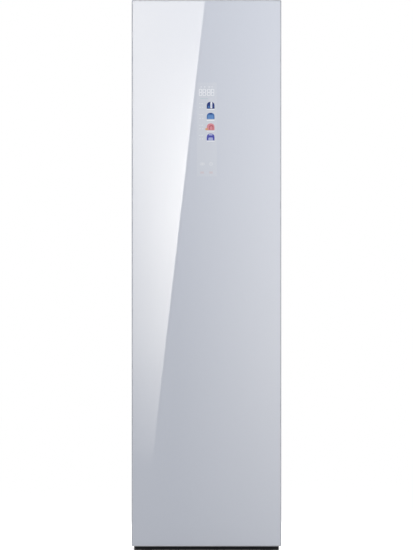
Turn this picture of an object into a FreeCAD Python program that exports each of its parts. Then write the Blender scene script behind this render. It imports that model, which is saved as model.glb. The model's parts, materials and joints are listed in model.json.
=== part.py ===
import FreeCAD, Part
import math
import os
import re
import Sketcher
from FreeCAD import Rotation, Vector

# A free-standing clothes care steam cabinet, in millimetres.
#
# X points right seen from the front, Y points to the back and Z points up. The origin is on the floor
# under the middle of the cabinet, so every piece keeps the place that it has in the whole object.
# A glass-fronted door hangs on the right. Behind it are the treatment chamber with a moving hanger bar
# and a shelf, a bay with two water tanks and a lint filter, and the machine compartment at the bottom.

doc = FreeCAD.newDocument("steam_cabinet")

# The driving dimensions. Every alias has an underscore, which is how a formula's text finds them.
DIMENSIONS = {
    # the whole cabinet
    "cab_width": 500,
    "cab_depth": 590,
    "cab_height": 1840,
    "shell_inset": 2,          # the shell is this much narrower than the door, each side
    "shell_drop": 24,          # from the door's top edge down to the top panel
    "louvre_depth": 10,        # how far the machine cover stands out at the back
    "sheet_thick": 1,          # painted steel sheet
    "return_width": 14,        # folded edges of the sheets
    "small_gap": 0.1,          # between pieces that lie beside each other
    # the door's front: glass in an aluminium trim
    "door_gap": 15.5,          # under the door
    "overlay_depth": 14,
    "door_corner": 4,
    "trim_lip": 2.8,           # the visible line of aluminium
    "trim_wall": 2,
    "trim_ledge": 14,
    "trim_flange": 20,
    "glass_thick": 4,
    "glass_recess": 0.3,       # the glass lies this much behind the trim
    "glass_fit": 0.2,
    "glass_corner": 1.5,
    "glass_edge": 0.6,         # ground bevel
    # the display behind the glass
    "display_x": 1,
    "display_z": 1407.5,
    "display_width": 62,
    "display_height": 309,
    "display_rim": 3,
    "display_deep": 8,
    "window_fit": 0.5,
    "well_deep": 1.5,          # light wells in the display module
    "digit_z": 1530,
    "digit_well_width": 52,
    "digit_well_height": 26,
    "icon_x": 13.9,
    "icon_z": 1382.5,
    "icon_pitch": 35.3,
    "icon_size": 26,
    "icon_count": 4,
    "cable_width": 12,
    "cable_deep": 3,
    # the door's core
    "core_inset": 8,
    "core_depth": 30,
    "profile_width": 20,
    "profile_wall": 2,
    "grip_reach": 14,          # depth of the finger grip in the opening edge
    "grip_opening": 15,
    "cap_thick": 6,
    "liner_thick": 3,
    "dyke_half": 192,          # the liner's raised rim
    "dyke_width": 24,
    "dyke_depth": 25,
    "dyke_low": 73,
    "dyke_high": 1681,
    "dyke_round": 6,
    "gasket_half": 233.5,
    "gasket_width": 20,
    "gasket_base": 6,
    "gasket_depth": 10,
    "bulb_width": 12,
    "gasket_low": 38,
    "gasket_high": 1722.5,
    # the door's hinges
    "hinge_inset": 16,
    "hinge_setback": 25,
    "hinge_gap": 2,
    "pin_radius": 4,
    "pin_fit": 0.05,
    "pin_reach": 22,
    "boss_radius": 5.8,
    "boss_long": 18,
    "bracket_thick": 4,
    "bracket_lug": 9,
    "bracket_wide": 40,
    "bracket_side": 2,
    "bracket_back": 95,
    "bracket_flange": 3,
    "flange_low": 12,
    "washer_radius": 8,
    "washer_hole": 4.3,
    # the trouser press on the door
    "press_half": 150,
    "press_low": 700,
    "press_high": 1480,
    "press_base_thick": 12,
    "press_gap": 6,
    "press_cover_thick": 16,
    "press_round": 12,
    "press_axis_x": 160,
    "press_axis_deep": 19,     # from the liner to the cover's hinge line
    "press_lug_size": 16,
    "press_lug_deep": 23,
    "press_station": 750,      # the lower hinge
    "press_spacing": 670,      # up to the upper hinge
    "press_stub": 2.5,
    "press_ear": 12,
    "press_ear_half": 6,
    "press_clear": 1,
    "notch_width": 60,
    "notch_deep": 12,
    # the steel shell
    "frame_thick": 10,
    "frame_wall": 1.5,
    "opening_half": 205,
    "opening_low": 60,
    "opening_high": 1694,
    "side_low": 20,
    "back_low": 395,
    "field_half": 190,         # pressed fields that stiffen the back panel
    "field_low": 480,
    "field_high": 600,
    "field_gap": 60,
    "field_depth": 3,
    "screw_x": 240,
    "screw_low": 450,
    "screw_run": 1320,
    "screw_count": 7,
    "cover_screw_low": 75,
    "cover_screw_run": 290,
    "cover_screw_count": 3,
    "screw_hole": 2.1,
    "screw_shank": 1.9,
    "screw_head": 4.2,
    "head_thick": 2,
    "anchor_half": 150,        # threaded holes for a strap to the wall
    "anchor_z": 1780,
    "anchor_hole": 2.25,
    "louvre_left": 140,
    "louvre_right": 225,
    "louvre_low": 70,
    "louvre_high": 365,
    "slot_width": 150,
    "slot_high": 6,
    "slot_z": 110,
    "slot_middle": 42.5,
    "slot_aside": 82.5,
    "slot_rows": 12,
    "slot_run": 210,
    "inlet_x": 190,
    "inlet_z": 90,
    "inlet_width": 30,         # the opening in the cover
    "inlet_high": 26,
    "inlet_flange": 25,        # half sizes of the inlet's flange, case, cavity and pins
    "inlet_flange_high": 16,
    "inlet_case": 14,
    "inlet_case_high": 12,
    "inlet_case_deep": 22,
    "inlet_cavity": 12,
    "inlet_cavity_high": 8.5,
    "inlet_cavity_deep": 18,
    "inlet_blade": 1,
    "inlet_blade_high": 2,
    "inlet_blade_long": 9,
    "inlet_blade_x": 7,
    "inlet_blade_z": 3,
    # the base
    "base_half": 233,
    "base_low": 10,
    "base_top": 36,
    "rail_thick": 3,
    "base_plate": 2,
    "foot_x": 200,
    "foot_front": 200,
    "foot_rear": 245,
    "foot_radius": 19,
    "foot_pad": 6,
    "foot_cone": 10,
    "foot_neck": 9,
    "foot_stem": 5,
    "kick_half": 242,
    "kick_low": 1,
    "kick_high": 29,
    "kick_thick": 3,
    "kick_tab_x": 110,
    "kick_tab_half": 10,
    "kick_tab_low": 14,
    "kick_tab_high": 24,
    # the top front cover
    "hood_half": 242,
    "hood_front": 240,
    "hood_back": 150,
    "hood_slope": 165,
    "hood_high": 22,
    "hood_wall": 2,
    "hood_notch_left": 192,
    "hood_notch_right": 238,
    "hood_notch_high": 5,
    # the chamber
    "wall_half": 210,
    "wall_thick": 3,
    "bay_back": 75,            # the front of the machine compartment is at -bay_back
    "chamber_back": 255,
    "floor_z": 400,
    "ceiling_z": 1694,
    "panel_thick": 4,
    "ledge_high": 424,
    "ledge_deep": 10,
    "ledge_reach": 8,
    "ledge_front": 70,
    "ledge_back": 245,
    "grille_half": 90,
    "grille_z": 480,
    "grille_slot": 6,
    "grille_run": 70,
    "grille_count": 6,
    "arm_x": 120,
    "arm_slot_half": 28,
    "arm_slot_deep": 10,
    "lamp_y": 150,
    "lamp_half": 130,
    "lamp_half_deep": 20,
    "lamp_wall": 2,
    "trough_high": 18,
    "lens_drop": 4,
    "lens_fit": 0.2,
    "vent_x": 122.5,
    "vent_half": 75,
    "vent_y": -45,
    "vent_slot": 8,
    "vent_run": 75,
    "vent_count": 5,
    "outlet_x": 165,
    "outlet_half": 32,
    "outlet_y": 204,
    "outlet_run": 40,
    "outlet_count": 3,
    "foam_half": 246.6,
    "foam_back": 282.4,
    "foam_top_low": 1792,
    # the shelf
    "shelf_half": 207,
    "shelf_front": 62,
    "shelf_back": 240,
    "shelf_low": 426,
    "shelf_top": 434,
    "shelf_lip": 440,
    "shelf_rim": 8,
    "shelf_slot": 22,
    "shelf_count": 14,
    "shelf_run": 364,
    "runner_width": 7,
    # the moving hanger
    "bar_y": 10,
    "bar_z": 1650,
    "bar_half": 165,
    "bar_radius": 11,
    "bar_round": 4,
    "hook_half": 5,
    "hook_deep": 2.5,
    "hook_pitch": 40,
    "hook_count": 5,
    "arm_thick": 10,
    "arm_half": 7,
    "arm_ring": 15,
    "arm_fit": 0.05,
    "guide_half": 26,
    "guide_z": 1720,
    "guide_radius": 5,
    "guide_long": 192,
    "bush_long": 24,
    "bush_size": 22,
    "sledge_half": 130,
    "sledge_low": 1729,
    "sledge_top": 1733,
    "sledge_deep": 34,
    "yoke_half": 16,
    "yoke_long": 32,
    "yoke_top": 1746,
    "yoke_slot": 6.3,
    "yoke_slot_long": 27,
    "deck_low": 1770,
    "deck_thick": 3,
    "deck_half": 192,
    "deck_front": 40,
    "deck_back": 170,
    "stand_thick": 14,
    "stand_half": 40,
    "crank_throw": 20,
    "crank_pin": 6,
    "crank_pin_low": 1747,
    "crank_arm_low": 1752,
    "crank_arm_high": 1760,
    "crank_hub": 13,
    "crank_end": 9,
    "shaft_radius": 6,
    "bearing_radius": 12,
    "bearing_drop": 8,
    "pulley_low": 1775,
    "pulley_high": 1789,
    "pulley_rim": 2,
    "crank_pulley": 45,
    "motor_pulley_radius": 15,
    "belt_thick": 2,
    "belt_play": 0.3,
    "belt_edge": 1,
    "motor_x": 60,
    "motor_y": 130,
    "motor_radius": 30,
    "motor_low": 1706,
    "motor_flange": 32,
    "motor_shaft": 4,
    "motor_shaft_low": 1746,
    "shaft_fit": 0.06,
    "deck_hole": 12,
    # the tank bay, its tower and the tanks
    "bay_half": 209.8,
    "bay_front": 224,          # the apron's face is at -bay_front, behind the door's rim
    "bay_lip": 4,
    "bay_wall": 4,
    "bay_floor": 150,
    "bay_sill": 8,
    "bay_skin": 3,
    "tank_left": 52,
    "tank_right": 198,
    "tank_front": 219,
    "tank_rear": 82,
    "tank_top": 376,
    "tank_wall": 2.5,
    "tank_round": 14,
    "post_thick": 6,
    "post_inset": 4,
    "post_half": 7,
    "post_high": 16,
    "bail_y": 152,
    "bail_rise": 8,
    "bail_pin": 3,
    "bail_size": 6,
    "bail_reach": 62,
    "bail_bar": 10,
    "bail_clear": 2,
    "mouth_half": 33,
    "mouth_front": 134,
    "mouth_back": 102,
    "lid_half": 40,
    "lid_front": 142,
    "lid_y": 92,
    "lid_rise": 5,
    "lid_low": 1.5,
    "lid_thick": 3,
    "lid_barrel": 3.5,
    "lid_pin": 2,
    "lid_post": 6,
    "lid_post_half": 5,
    "lid_post_high": 10,
    "lid_clear": 1,
    "tower_half": 45,
    "tower_top": 392,
    "tower_wall": 3,
    "filter_y": 160,
    "filter_half": 36,
    "filter_deep": 10,
    "filter_low": 252,
    "filter_play": 1,
    "filter_rim": 8,
    "filter_mesh": 4,
    "filter_flange": 44,
    "filter_flange_deep": 16,
    "filter_tab": 15,
    "filter_tab_thick": 6,
    "filter_tab_high": 14,
    # the machine compartment
    "comp_x": -130,
    "comp_y": 190,
    "comp_radius": 53,
    "comp_low": 54,
    "comp_high": 218,
    "comp_dome": 18,
    "comp_foot": 68,
    "comp_foot_thick": 4,
    "coil_left": 20,
    "coil_right": 205,
    "coil_low": 190,
    "tray_low": 176,
    "evap_front": -62,
    "evap_back": -26,
    "cond_front": -8,
    "cond_back": 28,
    "coil_end": 6,
    "fin_gap": 5,
    "fin_count": 20,
    "fin_run": 161,
    "pipe_radius": 4,
    "pipe_aside": 30,          # where the pipes leave the compressor's dome
    "hot_rise": 60,
    "cold_rise": 90,
    "hot_lane": -20,           # the hot pipe runs forward along this X
    "hot_lane_y": 68,
    "cond_port": 10,
    "evap_port": -44,
    "blower_x": 110,
    "blower_y": 134,
    "blower_low": 215,
    "blower_high": 293,
    "scroll_radius": 90,
    "scroll_wall": 3,
    "duct_left": 130,
    "duct_right": 200,
    "duct_bend": 190,
    "duct_back": 250,
    "intake_radius": 50,
    "wheel_radius": 70,
    "wheel_inner": 52,
    "wheel_low": 223,
    "wheel_plate": 3,
    "wheel_high": 283,
    "blade_thick": 2,
    "blade_sweep": 13,
    "blade_count": 24,
    "wheel_hub": 14,
    "wheel_shaft": 5,
    "wheel_shaft_low": 180,
    "shaft_hole": 8,
    "fan_motor_radius": 40,
    "fan_motor_low": 150,
    "boiler_x": -110,
    "boiler_y": 55,
    "boiler_z": 112,
    "boiler_radius": 40,
    "boiler_half": 72,
    "boiler_round": 10,
    "boiler_leg_half": 30,
    "boiler_leg": 20,
    "steam_pipe": 8,
    "nozzle_radius": 20,
    "nozzle_low": 396,
    "nozzle_high": 410,
    "nozzle_round": 8,
    "nozzle_hole": 22,
    "pump_x": 125,
    "pump_y": -140,
    "pump_z": 88,
    "pump_radius": 19,
    "pump_half": 34,
    "pump_stand": 15,
    "hose_radius": 6,
    "hose_turn_y": -10,
    "drain_port_x": 60,
    "control_left": -50,
    "control_right": 90,
    "control_front": 205,
    "control_back": 272,
    "control_high": 130,
    "control_lid": 3,
}

sheet = doc.addObject("Spreadsheet::Sheet", "dims")
for row_number, (alias, millimetres) in enumerate(DIMENSIONS.items(), start=1):
    sheet.set(f"A{row_number}", alias.replace("_", " "))
    sheet.set(f"B{row_number}", str(millimetres))
    sheet.setAlias(f"B{row_number}", alias)
doc.recompute()

# Places that several pieces share, as formulas of the driving dimensions.
FRONT = "(-cab_depth / 2)"
GLASS_FRONT = f"({FRONT} + glass_recess)"
GLASS_BACK = f"({GLASS_FRONT} + glass_thick)"
LEDGE_BACK = f"({GLASS_BACK} + trim_wall)"
OVERLAY_BACK = f"({FRONT} + overlay_depth)"
CORE_BACK = f"({OVERLAY_BACK} + core_depth)"
LINER_FRONT = f"({CORE_BACK} - liner_thick)"
SEAL_FACE = f"({CORE_BACK} + gasket_depth)"
FRAME_BACK = f"({SEAL_FACE} + frame_thick)"
BACK_FACE = "(cab_depth / 2 - louvre_depth)"
PANEL_BACK = f"({BACK_FACE} - sheet_thick)"
RETURN_FRONT = f"({PANEL_BACK} - sheet_thick)"
DOOR_HALF = "(cab_width / 2)"
SHELL_HALF = "(cab_width / 2 - shell_inset)"
CORE_HALF = "(cab_width / 2 - core_inset)"
SHELL_TOP = "(cab_height - shell_drop)"
CORE_LOW = "base_top"
CORE_HIGH = f"({SHELL_TOP} - hinge_gap)"
PIN_X = "(cab_width / 2 - hinge_inset)"
PIN_Y = f"({FRONT} + hinge_setback)"

NODES = []


# ---- helpers: formulas, Part primitives and booleans ----

def formula(text):
    """A formula's text with every driving dimension looked up in the sheet."""
    return re.sub(r"\b[a-z]+(?:_[a-z]+)+\b", lambda word: "dims." + word.group(), text)


def size(*aliases):
    """The sum of some driving dimensions as a number, for what a formula can't hold."""
    return sum(sheet.get(alias) for alias in aliases)


def span(half):
    """Both sides of the middle, as a low and a high formula."""
    return f"-({half})", f"({half})"


def around(middle, half):
    """A stretch with its middle at one formula."""
    return f"({middle}) - ({half})", f"({middle}) + ({half})"


def handed(side, low, high):
    """A stretch of X on the right (side 1), or its mirror image on the left (side -1)."""
    if side > 0:
        return f"({low})", f"({high})"
    return f"-({high})", f"-({low})"


def node(piece):
    """Keep a finished sub-part for export. Its Label is the name that it was made with."""
    NODES.append(piece)
    return piece


def block(name, x, y, z):
    """A box between a low and a high formula on each axis."""
    box = doc.addObject("Part::Box", name)
    for length, place, (low, high) in (("Length", "x", x), ("Width", "y", y), ("Height", "z", z)):
        box.setExpression(length, formula(f"({high}) - ({low})"))
        box.setExpression(f"Placement.Base.{place}", formula(low))
    return box


def rod(name, axis, centre, radius, low, high):
    """A cylinder between two levels of its axis. Centre holds the other two places, in X, Y, Z order."""
    cylinder = doc.addObject("Part::Cylinder", name)
    turns = {"x": Rotation(Vector(0, 1, 0), 90), "y": Rotation(Vector(1, 0, 0), -90), "z": Rotation()}
    cylinder.Placement = FreeCAD.Placement(Vector(), turns[axis])
    cylinder.setExpression("Radius", formula(radius))
    cylinder.setExpression("Height", formula(f"({high}) - ({low})"))
    places = list(centre)
    places.insert("xyz".index(axis), low)
    for place, text in zip("xyz", places):
        cylinder.setExpression(f"Placement.Base.{place}", formula(text))
    return cylinder


def joined(name, *parts):
    """One solid made of several."""
    fusion = doc.addObject("Part::MultiFuse", name)
    fusion.Shapes = list(parts)
    return fusion


def cut(name, base, *tools):
    """A solid with others taken out of it."""
    result = doc.addObject("Part::Cut", name)
    result.Base = base
    result.Tool = tools[0] if len(tools) == 1 else joined(name + "_tools", *tools)
    return result


def shared(name, *parts):
    """The space that all the solids share."""
    common = doc.addObject("Part::MultiCommon", name)
    common.Shapes = list(parts)
    return common


def together(name, *parts):
    """Separate solids in one sub-part."""
    group = doc.addObject("Part::Compound", name)
    group.Links = list(parts)
    return group


# ---- helpers: PartDesign bodies ----

SQUARE_TO = {"x": "YZ_Plane", "y": "XZ_Plane", "z": "XY_Plane"}


def rect(across, up):
    """The corners of a rectangle."""
    (left, right), (low, high) = across, up
    return [(left, low), (right, low), (right, high), (left, high)]


def hold(drawing, geometry, point, start, across, up):
    """Fix one point of a sketch at two formulas. Start is where it was first drawn."""
    for kind, first, text in (("DistanceX", start.x, across), ("DistanceY", start.y, up)):
        held = drawing.addConstraint(Sketcher.Constraint(kind, -1, 1, geometry, point, first))
        drawing.setExpression(f"Constraints[{held}]", formula(text))


def draw_circle(drawing, across, up, radius):
    """A circle with its centre and radius held by formulas."""
    start = Vector(1, 1, 0)
    circle = drawing.addGeometry(Part.Circle(start, Vector(0, 0, 1), 1), False)
    held = drawing.addConstraint(Sketcher.Constraint("Radius", circle, 1.0))
    drawing.setExpression(f"Constraints[{held}]", formula(radius))
    hold(drawing, circle, 3, start, across, up)


def draw_corners(drawing, corners):
    """A closed outline of straight lines whose corners are held by formulas."""
    starts = [Vector(number + 1, (number + 1) ** 2, 0) for number in range(len(corners))]
    lines = [drawing.addGeometry(Part.LineSegment(start, starts[(number + 1) % len(starts)]), False)
             for number, start in enumerate(starts)]
    for number, line in enumerate(lines):
        following = lines[(number + 1) % len(lines)]
        drawing.addConstraint(Sketcher.Constraint("Coincident", line, 2, following, 1))
    for line, start, (across, up) in zip(lines, starts, corners):
        hold(drawing, line, 1, start, across, up)


def sketch(body, name, axis, level, loops, centre=("0", "0")):
    """A sketch square to an axis, at a level along it.

    A loop is a list of corners or one circle (across, up, radius). Across is X, or Y where the axis
    is X. Up is Z, or Y where the axis is Z. Centre moves the sketch's own origin.
    """
    drawing = body.newObject("Sketcher::SketchObject", name)
    plane = next(each for each in body.Origin.OriginFeatures if each.Role == SQUARE_TO[axis])
    drawing.AttachmentSupport = [(plane, "")]
    drawing.MapMode = "FlatFace"
    sign = "-" if axis == "y" else ""
    drawing.setExpression("AttachmentOffset.Base.x", formula(centre[0]))
    drawing.setExpression("AttachmentOffset.Base.y", formula(centre[1]))
    drawing.setExpression("AttachmentOffset.Base.z", formula(f"{sign}({level})"))
    for loop in loops:
        if isinstance(loop, tuple):
            draw_circle(drawing, *loop)
        else:
            draw_corners(drawing, loop)
    return drawing


def new_body(name):
    return doc.addObject("PartDesign::Body", name)


def pad(body, name, axis, levels, *loops):
    """Material between two levels of an axis. The XZ plane's normal points to -Y."""
    low, high = levels
    feature = body.newObject("PartDesign::Pad", name)
    feature.Profile = sketch(body, name + "_sketch", axis, high if axis == "y" else low, loops)
    feature.setExpression("Length", formula(f"({high}) - ({low})"))
    return feature


def pocket(body, name, axis, levels, *loops, centre=("0", "0")):
    """A cut between two levels of an axis. It runs against its sketch's normal."""
    low, high = levels
    feature = body.newObject("PartDesign::Pocket", name)
    feature.Profile = sketch(body, name + "_sketch", axis, low if axis == "y" else high, loops, centre)
    feature.setExpression("Length", formula(f"({high}) - ({low})"))
    return feature


def turned(body, name, centre, corners):
    """A solid turned about the upright line at centre (x, y). Corners are (radius, z)."""
    feature = body.newObject("PartDesign::Revolution", name)
    feature.Profile = sketch(body, name + "_sketch", "y", centre[1], [corners], (centre[0], "0"))
    feature.ReferenceAxis = (feature.Profile[0], ["V_Axis"])
    feature.Angle = 360
    return feature


def in_row(body, name, feature, direction, run, count):
    """An even row of one feature, along its sketch's H_Axis (across) or V_Axis (up)."""
    pattern = body.newObject("PartDesign::LinearPattern", name)
    pattern.Originals = [feature]
    pattern.Direction = (feature.Profile[0], [direction])
    pattern.setExpression("Length", formula(run))
    pattern.setExpression("Occurrences", formula(count))
    body.Tip = pattern
    return pattern


def runs_along(axis):
    """Chooses the straight edges that run along an axis."""
    def chosen(edge, whole):
        lengths = [edge.BoundBox.XLength, edge.BoundBox.YLength, edge.BoundBox.ZLength]
        length = lengths.pop("xyz".index(axis))
        return length > 0.5 and max(lengths) < 0.01
    return chosen


def lies_on(side):
    """Chooses the edges in the plane of one side of the piece's box, such as YMin."""
    def chosen(edge, whole):
        opposite = side[0] + ("Max" if side.endswith("Min") else "Min")
        level = getattr(whole.BoundBox, side)
        return all(abs(getattr(edge.BoundBox, each) - level) < 0.01 for each in (side, opposite))
    return chosen


def dressed(body, kind, name, base, size, chosen):
    """A Fillet or Chamfer on the chosen edges of a feature."""
    doc.recompute()
    edges = [f"Edge{number}" for number, edge in enumerate(base.Shape.Edges, 1) if chosen(edge, base.Shape)]
    feature = body.newObject("PartDesign::" + kind, name)
    feature.Base = (base, edges)
    feature.setExpression("Radius" if kind == "Fillet" else "Size", formula(size))
    return feature


# ---- the door ----

def door_face(inset):
    """A rectangle inside the door's outline, as X and Z stretches."""
    return span(f"{DOOR_HALF} - ({inset})"), (f"door_gap + ({inset})", f"cab_height - ({inset})")


def mitred(name, ring, levels, outer, inner):
    """A ring cut at 45 degrees into four profiles, between an outer and an inner rectangle."""
    (out_left, out_right), (out_low, out_high) = outer
    (in_left, in_right), (in_low, in_high) = inner
    mitres = {
        "left": [(out_left, out_low), (in_left, in_low), (in_left, in_high), (out_left, out_high)],
        "right": [(out_right, out_low), (in_right, in_low), (in_right, in_high), (out_right, out_high)],
        "bottom": [(out_left, out_low), (in_left, in_low), (in_right, in_low), (out_right, out_low)],
        "top": [(out_left, out_high), (in_left, in_high), (in_right, in_high), (out_right, out_high)],
    }
    profiles = []
    for side, corners in mitres.items():
        mitre = new_body(f"{name}_mitre_{side}")
        pad(mitre, f"{name}_mitre_{side}_pad", "y", levels, corners)
        profiles.append(shared(f"{name}_{side}", ring, mitre))
    return profiles


def door_trim():
    """The aluminium frame of the door's front: one ring, cut at 45 degrees into four profiles."""
    ring = new_body("trim_ring")
    blank = pad(ring, "trim_blank", "y", (FRONT, OVERLAY_BACK), rect(*door_face("0")))
    dressed(ring, "Fillet", "trim_corners", blank, "door_corner", runs_along("y"))
    pocket(ring, "glass_seat", "y", (FRONT, GLASS_BACK), rect(*door_face("trim_lip")))
    pocket(ring, "ledge_light", "y", (GLASS_BACK, LEDGE_BACK), rect(*door_face("trim_ledge")))
    channel_back = f"({OVERLAY_BACK} - trim_wall)"
    pocket(ring, "trim_channel", "y", (LEDGE_BACK, channel_back), rect(*door_face("trim_wall")))
    pocket(ring, "flange_light", "y", (channel_back, OVERLAY_BACK), rect(*door_face("trim_flange")))
    profiles = mitred("trim", ring, (FRONT, OVERLAY_BACK), door_face("0"), door_face("2 * trim_flange"))
    return node(together("door_trim", *profiles))


def door_glass():
    """Toughened glass, just behind the trim's lip, with a fine ground bevel."""
    glass = new_body("door_glass")
    sheet_pad = pad(glass, "glass_sheet", "y", (GLASS_FRONT, GLASS_BACK),
                    rect(*door_face("trim_lip + glass_fit")))
    corners = dressed(glass, "Fillet", "glass_corners", sheet_pad, "glass_corner", runs_along("y"))
    dressed(glass, "Chamfer", "glass_bevel", corners, "glass_edge", lies_on("YMin"))
    return node(glass)


def display_face(rim):
    """The display's rectangle with a rim round it."""
    return (around("display_x", f"display_width / 2 + {rim}"),
            around("display_z", f"display_height / 2 + {rim}"))


def door_backing():
    """The board bonded to the glass, with a window for the display and a cable groove up to the hinge."""
    board = new_body("door_backing")
    levels = (GLASS_BACK, OVERLAY_BACK)
    pad(board, "backing_board", "y", levels, rect(*door_face("trim_flange + glass_fit")))
    pocket(board, "display_window", "y", levels, rect(*display_face("display_rim + window_fit")))
    top = "cab_height - trim_flange"
    groove = rect(around("display_x", "cable_width / 2"), ("display_z", top))
    pocket(board, "cable_groove", "y", (f"{OVERLAY_BACK} - cable_deep", OVERLAY_BACK), groove)
    return node(board)


def display_module():
    """The lit module behind the glass: one well for the digits and one for each programme icon."""
    module = new_body("display_module")
    pad(module, "module_case", "y", (GLASS_BACK, f"{GLASS_BACK} + display_deep"),
        rect(*display_face("display_rim")))
    well = (GLASS_BACK, f"{GLASS_BACK} + well_deep")
    digits = rect(around("display_x", "digit_well_width / 2"), around("digit_z", "digit_well_height / 2"))
    pocket(module, "digit_well", "y", well, digits)
    icon = rect(around("icon_x", "icon_size / 2"), around("icon_z", "icon_size / 2"))
    icon_well = pocket(module, "icon_well", "y", well, icon)
    in_row(module, "icon_wells", icon_well, "V_Axis", "icon_pitch * (icon_count - 1)", "icon_count")
    return node(module)


def core_height(inset):
    return f"({CORE_LOW} + {inset})", f"({CORE_HIGH} - {inset})"


def door_grip_profile():
    """The opening edge: an extrusion whose front is folded in, so that fingers reach behind the trim."""
    profile = new_body("door_grip_profile")
    outer, inner = f"-{CORE_HALF}", f"(profile_width - {CORE_HALF})"
    grip, ledge = f"(grip_reach - {CORE_HALF})", f"({OVERLAY_BACK} + grip_opening)"
    corners = [
        (outer, LINER_FRONT), (inner, LINER_FRONT), (inner, f"{LINER_FRONT} - profile_wall"),
        (f"{outer} + profile_wall", f"{LINER_FRONT} - profile_wall"),
        (f"{outer} + profile_wall", f"{ledge} + profile_wall"),
        (f"{grip} + profile_wall", f"{ledge} + profile_wall"),
        (f"{grip} + profile_wall", f"{OVERLAY_BACK} + profile_wall"),
        (inner, f"{OVERLAY_BACK} + profile_wall"), (inner, OVERLAY_BACK), (grip, OVERLAY_BACK),
        (grip, ledge), (outer, ledge),
    ]
    pad(profile, "grip_section", "z", core_height("cap_thick"), corners)
    return node(profile)


def door_hinge_profile():
    """The hinge edge: a channel that opens to the foam and leaves room for the hinge bosses."""
    profile = new_body("door_hinge_profile")
    outer, inner = CORE_HALF, f"({CORE_HALF} - profile_width)"
    corners = [
        (outer, OVERLAY_BACK), (outer, LINER_FRONT), (inner, LINER_FRONT),
        (inner, f"{LINER_FRONT} - profile_wall"),
        (f"{outer} - profile_wall", f"{LINER_FRONT} - profile_wall"),
        (f"{outer} - profile_wall", f"{OVERLAY_BACK} + profile_wall"),
        (inner, f"{OVERLAY_BACK} + profile_wall"),
        (inner, OVERLAY_BACK),
    ]
    pad(profile, "hinge_section", "z", core_height("cap_thick"), corners)
    return node(profile)


def door_end_caps():
    """The top and bottom of the door's core, each with a boss bored for a hinge pin."""
    caps = []
    levels = {
        "bottom": ((CORE_LOW, f"{CORE_LOW} + cap_thick"), f"{CORE_LOW} + cap_thick + boss_long"),
        "top": ((f"{CORE_HIGH} - cap_thick", CORE_HIGH), f"{CORE_HIGH} - cap_thick - boss_long"),
    }
    for side, (plate, boss_end) in levels.items():
        low, high = (plate[0], boss_end) if side == "bottom" else (boss_end, plate[1])
        bored = cut(
            f"cap_{side}",
            joined(f"cap_{side}_blank",
                   block(f"cap_{side}_plate", span(CORE_HALF), (OVERLAY_BACK, LINER_FRONT), plate),
                   rod(f"cap_{side}_boss", "z", (PIN_X, PIN_Y), "boss_radius", low, high)),
            rod(f"cap_{side}_bore", "z", (PIN_X, PIN_Y), "pin_radius + pin_fit", low, high))
        caps.append(bored)
    return node(together("door_end_caps", *caps))


def door_foam():
    """The foam between the two side profiles."""
    levels = (f"{OVERLAY_BACK} + small_gap", f"{LINER_FRONT} - small_gap")
    return node(block("door_foam", span(f"{CORE_HALF} - profile_width - small_gap"), levels,
                      core_height("cap_thick")))


def door_liner():
    """The door's inner face: a flat sheet, and a raised rim of four hollow mitred mouldings."""
    liner = new_body("liner_sheet")
    pad(liner, "liner_plate", "y", (LINER_FRONT, CORE_BACK), rect(span(CORE_HALF), (CORE_LOW, CORE_HIGH)))

    def rim(inset):
        return span(f"dyke_half - {inset}"), (f"dyke_low + {inset}", f"dyke_high - {inset}")

    crest = f"({CORE_BACK} + dyke_depth)"
    ring = new_body("dyke_ring")
    raised = pad(ring, "dyke", "y", (CORE_BACK, crest), rect(*rim("0")), rect(*rim("dyke_width")))
    dressed(ring, "Fillet", "dyke_edges", raised, "dyke_round", lies_on("YMax"))
    pocket(ring, "dyke_hollow", "y", (CORE_BACK, f"{crest} - liner_thick"),
           rect(*rim("liner_thick")), rect(*rim("(dyke_width - liner_thick)")))
    mouldings = mitred("dyke", ring, (CORE_BACK, crest), rim("0"), rim("2 * dyke_width"))
    return node(together("door_liner", liner, *mouldings))


def door_gasket():
    """The magnetic gasket: a flat foot on the liner and a narrower bulb that meets the front frame."""
    gasket = new_body("door_gasket")

    def ring(inset):
        return rect(span(f"gasket_half - {inset}"), (f"gasket_low + {inset}", f"gasket_high - {inset}"))

    step = f"({CORE_BACK} + gasket_base)"
    margin = "(gasket_width - bulb_width) / 2"
    pad(gasket, "gasket_foot", "y", (CORE_BACK, step), ring("0"), ring("gasket_width"))
    pad(gasket, "gasket_bulb", "y", (step, SEAL_FACE), ring(margin), ring(f"(gasket_width - {margin})"))
    return node(gasket)


PRESS_FRONT = f"({CORE_BACK} + press_base_thick)"
COVER_FRONT = f"({PRESS_FRONT} + press_gap)"
COVER_BACK = f"({COVER_FRONT} + press_cover_thick)"
PRESS_AXIS = ("press_axis_x", f"({CORE_BACK} + press_axis_deep)")


def press_stations():
    """The heights of the trouser press's two hinges."""
    return "press_station", "(press_station + press_spacing)"


def press_base():
    """The board on the door's inner face that trousers are pressed against, with hinge stubs."""
    board = new_body("press_board")
    plate = pad(board, "press_plate", "y", (CORE_BACK, PRESS_FRONT),
                rect(span("press_half"), ("press_low", "press_high")))
    dressed(board, "Fillet", "press_plate_corners", plate, "press_round", runs_along("y"))
    parts = [board]
    for number, station in enumerate(press_stations()):
        low, high = around(station, "press_lug_size / 2")
        parts.append(block(f"press_lug_{number}", ("press_half - press_clear", "press_half + press_lug_size"),
                           (CORE_BACK, f"{CORE_BACK} + press_lug_deep"), (low, high)))
        parts.append(rod(f"press_stub_{number}", "z", PRESS_AXIS, "press_stub",
                         low, f"{high} + 2 * press_clear + press_ear"))
    return node(joined("press_base", *parts))


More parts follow.
